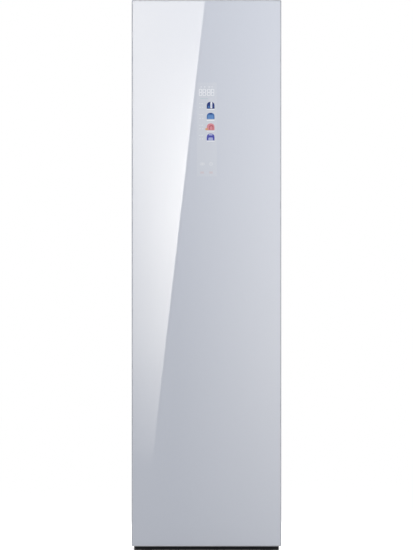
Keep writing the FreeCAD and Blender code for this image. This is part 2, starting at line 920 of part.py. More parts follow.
def press_cover():
    """The hinged cover of the trouser press, with two bored ears and a notch to open it by."""
    cover = new_body("press_cover")
    right = "(press_half - 2 * press_clear)"
    plate = pad(cover, "cover_plate", "y", (COVER_FRONT, COVER_BACK),
                rect(("-press_half", right), ("press_low", "press_high")))
    dressed(cover, "Fillet", "cover_corners", plate, "press_round", runs_along("y"))
    for number, station in enumerate(press_stations()):
        low = f"({station} + press_lug_size / 2 + press_clear)"
        levels = (low, f"({low} + press_ear)")
        reach = (f"{right} - press_lug_size", "press_axis_x + press_ear_half")
        pad(cover, f"ear_{number}", "z", levels,
            rect(reach, around(PRESS_AXIS[1], "press_ear_half - press_clear")))
        pocket(cover, f"ear_bore_{number}", "z", levels, (*PRESS_AXIS, "press_stub + pin_fit"))
    pocket(cover, "finger_notch", "y", (COVER_FRONT, COVER_BACK),
           rect(("-press_half", "notch_deep - press_half"),
                around("(press_low + press_high) / 2", "notch_width / 2")))
    return node(cover)


# ---- the steel shell ----

def channel(name, x, z):
    """A folded steel channel in the front frame: a flat face with its edges turned back."""
    within = [(f"{low} + frame_wall", f"{high} - frame_wall") for low, high in (x, z)]
    return cut(name, block(name + "_face", x, (SEAL_FACE, FRAME_BACK), z),
               block(name + "_back", within[0], (f"{SEAL_FACE} + frame_wall", FRAME_BACK), within[1]))


def front_frame():
    """The frame that the gasket seals on: two stiles with two rails between them."""
    upright = ("base_top", SHELL_TOP)
    return node(together(
        "front_frame",
        channel("stile_left", handed(-1, "opening_half", SHELL_HALF), upright),
        channel("stile_right", handed(1, "opening_half", SHELL_HALF), upright),
        channel("rail_bottom", span("opening_half"), ("base_top", "opening_low")),
        channel("rail_top", span("opening_half"), ("opening_high", SHELL_TOP))))


def side_panel(name, side):
    """A painted side sheet with a folded return at the front and one at the back."""
    panel = new_body(name)
    sign = "-" if side < 0 else ""
    outer, skin = f"{sign}{SHELL_HALF}", f"{sign}({SHELL_HALF} - sheet_thick)"
    inner = f"{sign}({SHELL_HALF} - return_width)"
    corners = [
        (outer, FRAME_BACK), (outer, PANEL_BACK), (inner, PANEL_BACK), (inner, RETURN_FRONT),
        (skin, RETURN_FRONT), (skin, f"{FRAME_BACK} + sheet_thick"), (inner, f"{FRAME_BACK} + sheet_thick"),
        (inner, FRAME_BACK),
    ]
    pad(panel, name + "_sheet", "z", ("side_low", SHELL_TOP), corners)
    rows = {"upper": ("screw_low", "screw_run", "screw_count"),
            "lower": ("cover_screw_low", "cover_screw_run", "cover_screw_count")}
    for row, (first, run, count) in rows.items():
        hole = pocket(panel, f"{name}_{row}_hole", "y", (RETURN_FRONT, PANEL_BACK),
                      (f"{sign}screw_x", first, "screw_hole"))
        in_row(panel, f"{name}_{row}_holes", hole, "V_Axis", run, count)
    return node(panel)


def top_panel():
    """The top sheet, between the side panels."""
    panel = new_body("top_panel")
    pad(panel, "top_sheet", "z", (f"{SHELL_TOP} - sheet_thick", SHELL_TOP),
        rect(span(f"{SHELL_HALF} - sheet_thick - small_gap"),
             (f"{FRAME_BACK} + sheet_thick + small_gap", f"{RETURN_FRONT} - small_gap")))
    return node(panel)


def back_panel():
    """The back sheet, with two pressed fields, screw holes and two holes for a wall strap."""
    panel = new_body("back_panel")
    pad(panel, "back_sheet", "y", (PANEL_BACK, BACK_FACE), rect(span(SHELL_HALF), ("back_low", SHELL_TOP)))
    for number in range(2):
        low = f"(field_low + {number} * (field_high + field_gap))"

        def field(inset):
            return rect(span(f"field_half - {inset}"), (f"{low} + {inset}", f"{low} + field_high - {inset}"))

        raised = pad(panel, f"field_{number}", "y", (BACK_FACE, f"{BACK_FACE} + field_depth"), field("0"))
        dressed(panel, "Chamfer", f"field_{number}_slope", raised, "field_depth - sheet_thick / 2",
                lies_on("YMax"))
        pocket(panel, f"field_{number}_hollow", "y",
               (PANEL_BACK, f"{BACK_FACE} + field_depth - sheet_thick"), field("field_depth"))
    for name, sign in (("left", "-"), ("right", "")):
        hole = pocket(panel, f"screw_hole_{name}", "y", (PANEL_BACK, BACK_FACE),
                      (f"{sign}screw_x", "screw_low", "screw_hole"))
        in_row(panel, f"screw_holes_{name}", hole, "V_Axis", "screw_run", "screw_count")
    anchors = [(x, "anchor_z", "anchor_hole") for x in ("-anchor_half", "anchor_half")]
    pocket(panel, "anchor_holes", "y", (PANEL_BACK, BACK_FACE), *anchors)
    return node(panel)


def rear_machine_cover():
    """The lower back cover: a dished sheet with two columns of louvre slots and the inlet's opening."""
    cover = new_body("rear_machine_cover")
    pad(cover, "cover_sheet", "y", (PANEL_BACK, BACK_FACE),
        rect(span(SHELL_HALF), ("base_top", "back_low - small_gap")))
    dish_face = f"({BACK_FACE} + louvre_depth)"

    def dish(inset):
        return rect((f"-louvre_left + {inset}", f"louvre_right - {inset}"),
                    (f"louvre_low + {inset}", f"louvre_high - {inset}"))

    pad(cover, "dish", "y", (BACK_FACE, dish_face), dish("0"))
    pocket(cover, "dish_hollow", "y", (PANEL_BACK, f"{dish_face} - sheet_thick"), dish("sheet_thick"))
    for name, sign in (("left", "-"), ("right", "+")):
        slot = pocket(cover, f"slot_{name}", "y", (f"{dish_face} - sheet_thick", dish_face),
                      rect(around(f"slot_middle {sign} slot_aside", "slot_width / 2"),
                           around("slot_z", "slot_high / 2")))
        in_row(cover, f"slots_{name}", slot, "V_Axis", "slot_run", "slot_rows")
    pocket(cover, "inlet_opening", "y", (PANEL_BACK, BACK_FACE),
           rect(around("-inlet_x", "inlet_width / 2"), around("inlet_z", "inlet_high / 2")))
    for name, sign in (("left", "-"), ("right", "")):
        hole = pocket(cover, f"cover_hole_{name}", "y", (PANEL_BACK, BACK_FACE),
                      (f"{sign}screw_x", "cover_screw_low", "screw_hole"))
        in_row(cover, f"cover_holes_{name}", hole, "V_Axis", "cover_screw_run", "cover_screw_count")
    return node(cover)


def panel_screws():
    """The screws of the back panel and the machine cover, in the same rows as their holes."""
    screws = []
    for row in ("", "cover_"):
        first, run, count = f"{row}screw_low", f"{row}screw_run", f"{row}screw_count"
        for number in range(size(count)):
            for name, sign in (("left", "-"), ("right", "")):
                centre = (f"{sign}screw_x", f"{first} + {run} * {number} / ({count} - 1)")
                name = f"{row}screw_{name}_{number}"
                head = rod(name + "_head", "y", centre, "screw_head", BACK_FACE, f"{BACK_FACE} + head_thick")
                shank = rod(name + "_shank", "y", centre, "screw_shank", RETURN_FRONT, BACK_FACE)
                screws.append(joined(name, head, shank))
    return node(together("panel_screws", *screws))


def base_frame():
    """The base: four rails on edge under a plate that carries the machines."""
    levels = ("base_low", "base_top - base_plate")
    depth = (FRAME_BACK, f"{RETURN_FRONT} - small_gap")
    inner = span("base_half - rail_thick")
    rails = [
        block("base_rail_left", handed(-1, "base_half - rail_thick", "base_half"), depth, levels),
        block("base_rail_right", handed(1, "base_half - rail_thick", "base_half"), depth, levels),
        block("base_rail_front", inner, (depth[0], f"{depth[0]} + rail_thick"), levels),
        block("base_rail_rear", inner, (f"{depth[1]} - rail_thick", depth[1]), levels),
    ]
    plate = block("base_plate_sheet", span("base_half"), depth, ("base_top - base_plate", "base_top"))
    return node(together("base_frame", plate, *rails))


def levelling_feet():
    """Four screw feet, turned pieces with a broad pad, a cone and a stem up to the base plate."""
    feet = []
    corners = [(x, y) for x in ("-foot_x", "foot_x") for y in ("-foot_front", "foot_rear")]
    stem_top = "base_top - base_plate"
    for number, centre in enumerate(corners):
        foot = new_body(f"foot_{number}")
        turned(foot, f"foot_{number}_turned", centre, [
            ("0", "0"), ("foot_radius", "0"), ("foot_radius", "foot_pad"), ("foot_neck", "foot_cone"),
            ("foot_stem", "foot_cone"), ("foot_stem", stem_top), ("0", stem_top)])
        feet.append(foot)
    return node(together("levelling_feet", *feet))


def kick_plate():
    """The black plinth board under the door, with two tabs that fix it to the base."""
    board = new_body("kick_plate")
    board_back = f"({SEAL_FACE} + kick_thick)"
    pad(board, "kick_board", "y", (SEAL_FACE, board_back), rect(span("kick_half"), ("kick_low", "kick_high")))
    for name, middle in (("left", "-kick_tab_x"), ("right", "kick_tab_x")):
        pad(board, f"kick_tab_{name}", "y", (board_back, FRAME_BACK),
            rect(around(middle, "kick_tab_half"), ("kick_tab_low", "kick_tab_high")))
    return node(board)


def top_front_cover():
    """The hood on the top panel that hides the upper hinge, open below and notched for the bracket."""
    hood = new_body("top_front_cover")
    top = f"({SHELL_TOP} + hood_high)"

    def outline(wall):
        return [(f"-hood_front + {wall}", SHELL_TOP), (f"-hood_front + {wall}", f"{top} - {wall}"),
                (f"-hood_slope - {wall}", f"{top} - {wall}"), (f"-hood_back - {wall}", SHELL_TOP)]

    pad(hood, "hood_shell", "x", span("hood_half"), outline("0"))
    pocket(hood, "hood_hollow", "x", span("hood_half - hood_wall"), outline("hood_wall"))
    pocket(hood, "hood_notch", "y", ("-hood_front", "-hood_front + hood_wall"),
           rect(("hood_notch_left", "hood_notch_right"), (SHELL_TOP, f"{SHELL_TOP} + hood_notch_high")))
    return node(hood)


def hinge_brackets():
    """The door's two pins on their plates, and the washer that carries the door."""
    reach = (f"{PIN_X} - bracket_wide", f"{PIN_X} + bracket_side")
    low = f"({CORE_LOW} - hinge_gap - bracket_thick)"
    plate_top = (SHELL_TOP, f"({SHELL_TOP} + bracket_thick)")
    plate_low = (low, f"({low} + bracket_thick)")
    upper = joined(
        "upper_hinge",
        block("upper_plate", reach, (PIN_Y, f"{PIN_Y} + bracket_back"), plate_top),
        rod("upper_lug", "z", (PIN_X, PIN_Y), "bracket_lug", *plate_top),
        rod("upper_pin", "z", (PIN_X, PIN_Y), "pin_radius", f"{SHELL_TOP} - pin_reach", plate_top[1]))
    lower = joined(
        "lower_hinge",
        block("lower_plate", reach, (PIN_Y, FRAME_BACK), plate_low),
        block("lower_flange", reach, (f"{FRAME_BACK} - bracket_flange", FRAME_BACK),
              ("flange_low", plate_low[1])),
        rod("lower_lug", "z", (PIN_X, PIN_Y), "bracket_lug", *plate_low),
        rod("lower_pin", "z", (PIN_X, PIN_Y), "pin_radius", low, f"{plate_low[1]} + pin_reach"))
    washer = cut(
        "hinge_washer",
        rod("washer_disc", "z", (PIN_X, PIN_Y), "washer_radius", plate_low[1], CORE_LOW),
        rod("washer_bore", "z", (PIN_X, PIN_Y), "washer_hole", plate_low[1], CORE_LOW))
    return node(together("hinge_brackets", upper, lower, washer))


# ---- the chamber ----

CHAMBER_BACK = "(chamber_back + wall_thick)"
CEILING_TOP = "(ceiling_z + panel_thick)"


def cabinet_insulation():
    """Foam slabs between the shell and the chamber: two sides, the back and the top."""
    depth = (f"{FRAME_BACK} + 2 * sheet_thick", "foam_back")
    beyond_wall = "wall_half + wall_thick + small_gap"
    levels = ("floor_z + panel_thick", CEILING_TOP)
    return node(together(
        "cabinet_insulation",
        block("foam_left", handed(-1, beyond_wall, "foam_half"), depth, levels),
        block("foam_right", handed(1, beyond_wall, "foam_half"), depth, levels),
        block("foam_rear", span("wall_half"), (f"{CHAMBER_BACK} + small_gap", "foam_back"), levels),
        block("foam_top", span("foam_half - 2 * sheet_thick"), depth,
              ("foam_top_low", f"{SHELL_TOP} - sheet_thick - small_gap"))))


def inner_wall(name, side):
    """A chamber side wall. It reaches down beside the tank bay in front, and has the shelf's ledge."""
    wall = new_body(name)
    corners = [(FRAME_BACK, "opening_low"), ("-bay_back", "opening_low"), ("-bay_back", "floor_z"),
               ("chamber_back", "floor_z"), ("chamber_back", CEILING_TOP), (FRAME_BACK, CEILING_TOP)]
    pad(wall, name + "_sheet", "x", handed(side, "wall_half", "wall_half + wall_thick"), corners)
    pad(wall, name + "_ledge", "x", handed(side, "wall_half - ledge_reach", "wall_half"),
        rect(("-ledge_front", "ledge_back"), ("ledge_high - ledge_deep", "ledge_high")))
    return node(wall)


def inner_back_wall():
    """The chamber's back wall, with a grille of level slots near the floor."""
    wall = new_body("inner_back_wall")
    pad(wall, "back_wall_sheet", "y", ("chamber_back", CHAMBER_BACK),
        rect(span("wall_half"), ("floor_z", CEILING_TOP)))
    slot = pocket(wall, "grille_slot_cut", "y", ("chamber_back", CHAMBER_BACK),
                  rect(span("grille_half"), around("grille_z", "grille_slot / 2")))
    in_row(wall, "grille_slots", slot, "V_Axis", "grille_run", "grille_count")
    return node(wall)


def ceiling_panel():
    """The chamber's ceiling: two slots for the hanger's arms, and the lamp's window and trough."""
    panel = new_body("ceiling_panel")
    inside = span("wall_half - small_gap")
    window = (span("lamp_half"), around("-lamp_y", "lamp_half_deep"))
    trough = (span("lamp_half + lamp_wall"), around("-lamp_y", "lamp_half_deep + lamp_wall"))
    trough_top = f"({CEILING_TOP} + trough_high)"
    pad(panel, "ceiling_sheet", "z", ("ceiling_z", CEILING_TOP),
        rect(inside, (FRAME_BACK, "chamber_back - small_gap")))
    pad(panel, "trough", "z", (CEILING_TOP, trough_top), rect(*trough))
    pocket(panel, "trough_hollow", "z", ("ceiling_z", f"{trough_top} - lamp_wall"), rect(*window))
    for name, middle in (("left", "-arm_x"), ("right", "arm_x")):
        pocket(panel, f"arm_slot_{name}", "z", ("ceiling_z", CEILING_TOP),
               rect(around(middle, "arm_slot_half"), around("bar_y", "arm_slot_deep")))
    return node(panel)


def lamp_lens():
    """The lamp's diffuser, clipped into the ceiling's window and a little proud of it."""
    lens = new_body("lamp_lens")
    shape = pad(lens, "lens_block", "z", ("ceiling_z - lens_drop", f"{CEILING_TOP} - lens_fit"),
                rect(span("lamp_half - lens_fit"), around("-lamp_y", "lamp_half_deep - lens_fit")))
    dressed(lens, "Fillet", "lens_edges", shape, "lens_drop / 2", lies_on("ZMin"))
    return node(lens)


def chamber_floor():
    """The floor behind the tank bay: return slots over the coils, supply slots, and a steam hole."""
    floor = new_body("chamber_floor")
    levels = ("floor_z", "floor_z + panel_thick")
    pad(floor, "floor_sheet", "z", levels,
        rect(span("wall_half - small_gap"), ("-bay_back", "chamber_back - small_gap")))
    vent = pocket(floor, "vent", "z", levels,
                  rect(around("vent_x", "vent_half"), around("vent_y", "vent_slot / 2")))
    in_row(floor, "vents", vent, "V_Axis", "vent_run", "vent_count")
    outlet = pocket(floor, "outlet", "z", levels,
                    rect(around("outlet_x", "outlet_half"), around("outlet_y", "vent_slot / 2")))
    in_row(floor, "outlets", outlet, "V_Axis", "outlet_run", "outlet_count")
    pocket(floor, "steam_hole", "z", levels, ("boiler_x", "boiler_y", "nozzle_hole"))
    return node(floor)


def shelf():
    """The pull-out shelf: a slotted plate with a raised front lip, on two runners."""
    tray = new_body("shelf")
    depth = ("-shelf_front", "shelf_back")
    pad(tray, "shelf_plate", "z", ("shelf_low", "shelf_top"), rect(span("shelf_half"), depth))
    pad(tray, "shelf_lip_bar", "z", ("shelf_low", "shelf_lip"),
        rect(span("shelf_half"), ("-shelf_front", "shelf_rim - shelf_front")))
    for name, side in (("left", -1), ("right", 1)):
        pad(tray, f"runner_{name}", "z", ("ledge_high", "shelf_low"),
            rect(handed(side, "shelf_half - runner_width", "shelf_half"), depth))
    slot = pocket(tray, "shelf_slot_cut", "z", ("shelf_low", "shelf_top"),
                  rect(around("-shelf_run / 2", "shelf_slot / 2"),
                       ("2 * shelf_rim - shelf_front", "shelf_back - 2 * shelf_rim")))
    in_row(tray, "shelf_slots", slot, "H_Axis", "shelf_run", "shelf_count")
    return node(tray)


# ---- the moving hanger ----

DECK_TOP = "(deck_low + deck_thick)"


def hanger_bar():
    """The bar that clothes hangers hook over, with five turned hook seats and rounded ends."""
    bar = new_body("hanger_bar")
    tube = pad(bar, "bar_rod", "x", span("bar_half"), ("bar_y", "bar_z", "bar_radius"))
    dressed(bar, "Fillet", "bar_ends", tube, "bar_round", lambda edge, whole: edge.Closed)
    seat = bar.newObject("PartDesign::Groove", "hook_seat")
    first, above = "-hook_pitch * (hook_count - 1) / 2", "bar_radius + hook_deep"
    notch = [(f"{first} - hook_half", above), (f"{first} + hook_half", above),
             (first, "bar_radius - hook_deep")]
    seat.Profile = sketch(bar, "hook_seat_sketch", "y", "bar_y", [notch], ("0", "bar_z"))
    seat.ReferenceAxis = (seat.Profile[0], ["H_Axis"])
    seat.Angle = 360
    in_row(bar, "hook_seats", seat, "H_Axis", "hook_pitch * (hook_count - 1)", "hook_count")
    return node(bar)


def hanger_carriage():
    """The carriage: a sledge with four bushes, a yoke across its middle and two arms down to the bar."""
    yoke = ("sledge_low", "yoke_top")
    solids = [
        block("sledge", span("sledge_half"), around("bar_y", "sledge_deep"), ("sledge_low", "sledge_top")),
        block("yoke", span("yoke_half"), around("bar_y", "yoke_long"), yoke)]
    holes = [block("yoke_slot_cut", span("yoke_slot"), around("bar_y", "yoke_slot_long"), yoke)]
    for name, x in (("left", "-arm_x"), ("right", "arm_x")):
        arm_x = around(x, "arm_thick / 2")
        solids.append(block(f"arm_{name}", arm_x, around("bar_y", "arm_half"), ("bar_z", "sledge_low")))
        solids.append(rod(f"ring_{name}", "x", ("bar_y", "bar_z"), "arm_ring", *arm_x))
        holes.append(rod(f"ring_hole_{name}", "x", ("bar_y", "bar_z"), "bar_radius + arm_fit", *arm_x))
    for name, x in (("left", "-arm_x + 2 * arm_thick"), ("right", "arm_x - 2 * arm_thick")):
        for row, sign in (("front", "-"), ("rear", "+")):
            y = f"bar_y {sign} guide_half"
            along = around(x, "bush_long / 2")
            solids.append(block(f"bush_{name}_{row}", along, around(y, "bush_size / 2"),
                                ("guide_z - bush_size / 2", "guide_z + bush_size / 2")))
            holes.append(rod(f"bush_bore_{name}_{row}", "x", (y, "guide_z"), "guide_radius + pin_fit", *along))
    return node(cut("hanger_carriage", joined("carriage_blank", *solids), *holes))


def guide_rods():
    """The two rods that the carriage runs on."""
    return node(together("hanger_guide_rods", *[
        rod(f"guide_{name}", "x", (f"bar_y {sign} guide_half", "guide_z"), "guide_radius", *span("guide_long"))
        for name, sign in (("front", "-"), ("rear", "+"))]))


def hanger_drive_frame():
    """A deck on two stands: the stands hold the guide rods, the deck holds the motor and the bearing."""
    bearing = ("deck_low - bearing_drop", DECK_TOP)
    solids = [
        block("deck", span("deck_half"), ("-deck_front", "deck_back"), ("deck_low", DECK_TOP)),
        rod("bearing", "z", ("0", "bar_y"), "bearing_radius", *bearing)]
    holes = [
        rod("bearing_bore", "z", ("0", "bar_y"), "shaft_radius + pin_fit", *bearing),
        rod("motor_hole", "z", ("motor_x", "motor_y"), "deck_hole", "deck_low", DECK_TOP)]
    for name, side in (("left", -1), ("right", 1)):
        x = handed(side, "deck_half - stand_thick", "deck_half")
        solids.append(block(f"stand_{name}", x, around("bar_y", "stand_half"), (CEILING_TOP, "deck_low")))
        for row, sign in (("front", "-"), ("rear", "+")):
            holes.append(rod(f"rod_hole_{name}_{row}", "x", (f"bar_y {sign} guide_half", "guide_z"),
                             "guide_radius + arm_fit", *x))
    return node(cut("hanger_drive_frame", joined("drive_frame_blank", *solids), *holes))


def hanger_motor():
    """The drive motor, hung under the deck by its square flange."""
    centre = ("motor_x", "motor_y")
    blank = joined(
        "motor_blank",
        rod("motor_can", "z", centre, "motor_radius", "motor_low", "deck_low"),
        block("motor_flange_plate", around(centre[0], "motor_flange"), around(centre[1], "motor_flange"),
              ("deck_low - deck_thick", "deck_low")))
    bore = rod("motor_bore", "z", centre, "motor_shaft + shaft_fit", "motor_shaft_low", "deck_low")
    return node(cut("hanger_motor", blank, bore))


def pulley(name, centre, radius, shaft, shaft_low, *extra):
    """A flat-belt pulley with two rims on its own shaft."""
    rim = f"{radius} + pulley_rim"
    return joined(
        name,
        rod(name + "_groove", "z", centre, radius, "pulley_low", "pulley_high"),
        rod(name + "_low_rim", "z", centre, rim, "pulley_low", "pulley_low + pulley_rim"),
        rod(name + "_high_rim", "z", centre, rim, "pulley_high - pulley_rim", "pulley_high"),
        rod(name + "_shaft", "z", centre, shaft, shaft_low, "pulley_high"), *extra)


def drive_crank():
    """The crank: pulley, shaft, arm and a pin that points down at the carriage's yoke."""
    pin_centre = ("0", "bar_y + crank_throw")
    arm = ("crank_arm_low", "crank_arm_high")
    return node(pulley(
        "drive_crank", ("0", "bar_y"), "crank_pulley", "shaft_radius", "crank_arm_low",
        rod("crank_hub_disc", "z", ("0", "bar_y"), "crank_hub", *arm),
        rod("crank_end_disc", "z", pin_centre, "crank_end", *arm),
        block("crank_web", span("crank_end"), ("bar_y", "bar_y + crank_throw"), arm),
        rod("crank_pin_rod", "z", pin_centre, "crank_pin", "crank_pin_low", "crank_arm_low")))


def motor_pulley():
    """The small pulley on the motor's shaft."""
    return node(pulley("motor_pulley", ("motor_x", "motor_y"), "motor_pulley_radius",
                       "motor_shaft", "motor_shaft_low"))


def belt_loop(name, play):
    """The space inside a belt: two discs and the flat prism between their tangent lines."""
    levels = ("pulley_low + pulley_rim + belt_edge", "pulley_high - pulley_rim - belt_edge")
    big, small = f"(crank_pulley + {play})", f"(motor_pulley_radius + {play})"
    rise = "(motor_y - bar_y)"
    apart = f"sqrt(motor_x * motor_x + {rise} * {rise})"
    # The tangent points lie off the line of centres by these parts of each radius.
    along = f"((crank_pulley - motor_pulley_radius) / {apart})"
    aside = f"sqrt(1 - {along} * {along})"
    ahead_x, ahead_y = f"(motor_x / {apart})", f"({rise} / {apart})"

    def tangent(x, y, radius, side):
        return (f"{x} + {radius} * ({ahead_x} * {along} + ({side}) * {ahead_y} * {aside})",
                f"{y} + {radius} * ({ahead_y} * {along} - ({side}) * {ahead_x} * {aside})")

    flat = new_body(name + "_flat")
    pad(flat, name + "_prism", "z", levels, [
        tangent("0", "bar_y", big, 1), tangent("motor_x", "motor_y", small, 1),
        tangent("motor_x", "motor_y", small, -1), tangent("0", "bar_y", big, -1)])
    return joined(name, flat, rod(name + "_big", "z", ("0", "bar_y"), big, *levels),
                  rod(name + "_small", "z", ("motor_x", "motor_y"), small, *levels))


def drive_belt():
    """The flat belt, drawn tight with a little play, so that the pulleys turn inside it."""
    outer, inner = belt_loop("belt_outer", "belt_play + belt_thick"), belt_loop("belt_inner", "belt_play")
    return node(cut("drive_belt", outer, inner))


# ---- the tank bay ----

def tank_bay():
    """The moulded bay: floor, back and sides for the tanks, open in front and above, and a front apron."""
    bay = new_body("tank_bay")
    front, back, top = "-bay_front", "-bay_back", "(floor_z + panel_thick)"
    inside = span("bay_half - bay_wall")
    pad(bay, "bay_blank", "z", ("opening_low", top), rect(span("bay_half"), (front, back)))
    pocket(bay, "tank_space", "z", ("bay_floor + bay_sill", top), rect(inside, (front, f"{back} - bay_skin")))
    pocket(bay, "sill_space", "z", ("bay_floor", "bay_floor + bay_sill"),
           rect(inside, (f"{front} + bay_skin", f"{back} - bay_skin")))
    pocket(bay, "under_space", "z", ("opening_low", "bay_floor - bay_wall"),
           rect(inside, (f"{front} + bay_skin", back)))
    pad(bay, "bay_lip_strip", "z", ("opening_low", "opening_low + bay_lip"),
        rect(span("bay_half"), (FRAME_BACK, front)))
    return node(bay)


def filter_tower():
    """The hollow tower between the tanks, with a pocket from the top for the lint filter."""
    tower = new_body("filter_tower")
    pad(tower, "tower_blank", "z", ("bay_floor", "tower_top"),
        rect(span("tower_half"), ("-tank_front", "-tank_rear")))
    pocket(tower, "tower_hollow", "z", ("bay_floor", "tower_top - tower_wall"),
           rect(span("tower_half - tower_wall"), ("-tank_front + tower_wall", "-tank_rear - tower_wall")))

    def well(play):
        return rect(span(f"filter_half + {play}"), around("-filter_y", f"filter_deep + {play}"))

    pad(tower, "filter_well", "z", ("filter_low - filter_play - tower_wall", "tower_top"),
        well("filter_play + tower_wall"))
    pocket(tower, "filter_slot", "z", ("filter_low - filter_play", "tower_top"), well("filter_play"))
    return node(tower)


def lint_filter():
    """The filter cassette: a frame with a fine membrane, a flange that rests on the tower, and a tab."""
    cassette = new_body("lint_filter")
    pad(cassette, "cassette", "z", ("filter_low", "tower_top"),
        rect(span("filter_half"), around("-filter_y", "filter_deep")))
    window = rect(span("filter_half - filter_rim"), ("filter_low + filter_rim", "tower_top - 2 * filter_rim"))
    pocket(cassette, "front_window", "y", ("-filter_y - filter_deep", "-filter_y - filter_mesh / 2"), window)
    pocket(cassette, "rear_window", "y", ("-filter_y + filter_mesh / 2", "-filter_y + filter_deep"), window)
    flange_top = "(tower_top + filter_mesh)"
    pad(cassette, "filter_cap", "z", ("tower_top", flange_top),
        rect(span("filter_flange"), around("-filter_y", "filter_flange_deep")))
    tab = pad(cassette, "filter_tab_grip", "z", (flange_top, f"{flange_top} + filter_tab_high"),
              rect(span("filter_tab"), around("-filter_y", "filter_tab_thick / 2")))
    dressed(cassette, "Fillet", "filter_tab_round", tab, "filter_tab_thick / 3", lies_on("ZMax"))
    return node(cassette)


TANK_MIDDLE = "((tank_left + tank_right) / 2)"
BAIL_Z = "(tank_top + bail_rise)"
LID_Z = "(tank_top + lid_rise)"


def tank_ends(side, outer, thick):
    """Two mirror-image stretches of X near a tank's left and right sides."""
    return (handed(side, f"tank_left + {outer}", f"tank_left + {outer} + {thick}"),
            handed(side, f"tank_right - ({outer} + {thick})", f"tank_right - ({outer})"))


def mouth_sides(side, inner, thick):
    """Two mirror-image stretches of X on both sides of a tank's mouth."""
    return (handed(side, f"{TANK_MIDDLE} - ({inner} + {thick})", f"{TANK_MIDDLE} - ({inner})"),
            handed(side, f"{TANK_MIDDLE} + {inner}", f"{TANK_MIDDLE} + {inner} + {thick}"))


def tank(name, side):
    """A water tank: a hollow moulding with a mouth on top, and posts for its handle and its lid."""
    shell = new_body(name + "_shell")
    outline = rect(handed(side, "tank_left", "tank_right"), ("-tank_front", "-tank_rear"))
    blank = pad(shell, name + "_blank", "z", ("bay_floor", "tank_top"), outline)
    dressed(shell, "Fillet", name + "_corners", blank, "tank_round", runs_along("z"))
    inside = rect(handed(side, "tank_left + tank_wall", "tank_right - tank_wall"),
                  ("-tank_front + tank_wall", "-tank_rear - tank_wall"))
    hollow = new_body(name + "_hollow")
    water = pad(hollow, name + "_water", "z", ("bay_floor + tank_wall", "tank_top - tank_wall"), inside)
    dressed(hollow, "Fillet", name + "_water_corners", water, "tank_round - tank_wall", runs_along("z"))
    mouth = block(name + "_mouth", handed(side, f"{TANK_MIDDLE} - mouth_half", f"{TANK_MIDDLE} + mouth_half"),
                  ("-mouth_front", "-mouth_back"), ("tank_top - 2 * tank_wall", "tank_top"))
    solids, holes = [cut(name + "_vessel", shell, hollow, mouth)], []
    for number, x in enumerate(tank_ends(side, "post_inset", "post_thick")):
        solids.append(block(f"{name}_post_{number}", x, around("-bail_y", "post_half"),
                            ("tank_top", "tank_top + post_high")))
        holes.append(rod(f"{name}_post_bore_{number}", "x", ("-bail_y", BAIL_Z), "bail_pin + pin_fit", *x))
    for number, x in enumerate(mouth_sides(side, "lid_half + lid_clear", "lid_post")):
        solids.append(block(f"{name}_lid_post_{number}", x, around("-lid_y", "lid_post_half"),
                            ("tank_top", "tank_top + lid_post_high")))
        holes.append(rod(f"{name}_lid_bore_{number}", "x", ("-lid_y", LID_Z), "lid_pin + pin_fit", *x))
    return node(cut(name, joined(name + "_solid", *solids), *holes))


def tank_handle(name, side):
    """The folding bail: two legs with pins that turn in the tank's posts, and a cross bar."""
    inset = "post_inset + post_thick + bail_clear"
    levels, reach = around(BAIL_Z, "bail_size / 2"), "(-bail_y - bail_reach)"
    parts = []
    for number, x in enumerate(tank_ends(side, inset, "bail_size")):
        parts.append(block(f"{name}_leg_{number}", x, (reach, "-bail_y"), levels))
        parts.append(rod(f"{name}_eye_{number}", "x", ("-bail_y", BAIL_Z), "bail_size / 2", *x))
    for number, x in enumerate(tank_ends(side, "post_inset", "post_thick + bail_clear + bail_size")):
        parts.append(rod(f"{name}_pin_{number}", "x", ("-bail_y", BAIL_Z), "bail_pin", *x))
    parts.append(block(f"{name}_bar", handed(side, f"tank_left + {inset}", f"tank_right - ({inset})"),
                       (reach, f"{reach} + bail_bar"), levels))
    return node(joined(name, *parts))


def tank_lid(name, side):
    """The flip lid over the tank's mouth, with a barrel and two stub pins along its rear edge."""
    x = handed(side, f"{TANK_MIDDLE} - lid_half", f"{TANK_MIDDLE} + lid_half")
    low = "(tank_top + lid_low)"
    pins = mouth_sides(side, "lid_half", "lid_clear + lid_post")
    return node(joined(
        name,
        block(name + "_plate", x, ("-lid_front", "-lid_y"), (low, f"{low} + lid_thick")),
        rod(name + "_barrel", "x", ("-lid_y", LID_Z), "lid_barrel", *x),
        *[rod(f"{name}_pin_{number}", "x", ("-lid_y", LID_Z), "lid_pin", *each)
          for number, each in enumerate(pins)]))


# ---- the machine compartment ----

def compressor():
    """The upright compressor can with domed ends, on a round foot plate with a rubber pad under it."""
    body = new_body("compressor")
    centre = ("comp_x", "comp_y")
    turned(body, "compressor_can", centre, [
        ("0", "base_top"), ("comp_radius / 2", "base_top"), ("comp_radius / 2", "comp_low - comp_foot_thick"),
        ("comp_foot", "comp_low - comp_foot_thick"), ("comp_foot", "comp_low"),
        ("comp_radius", "comp_low"), ("comp_radius", "comp_high - comp_dome"),
        ("comp_radius - comp_dome", "comp_high"), ("0", "comp_high")])
    return node(body)


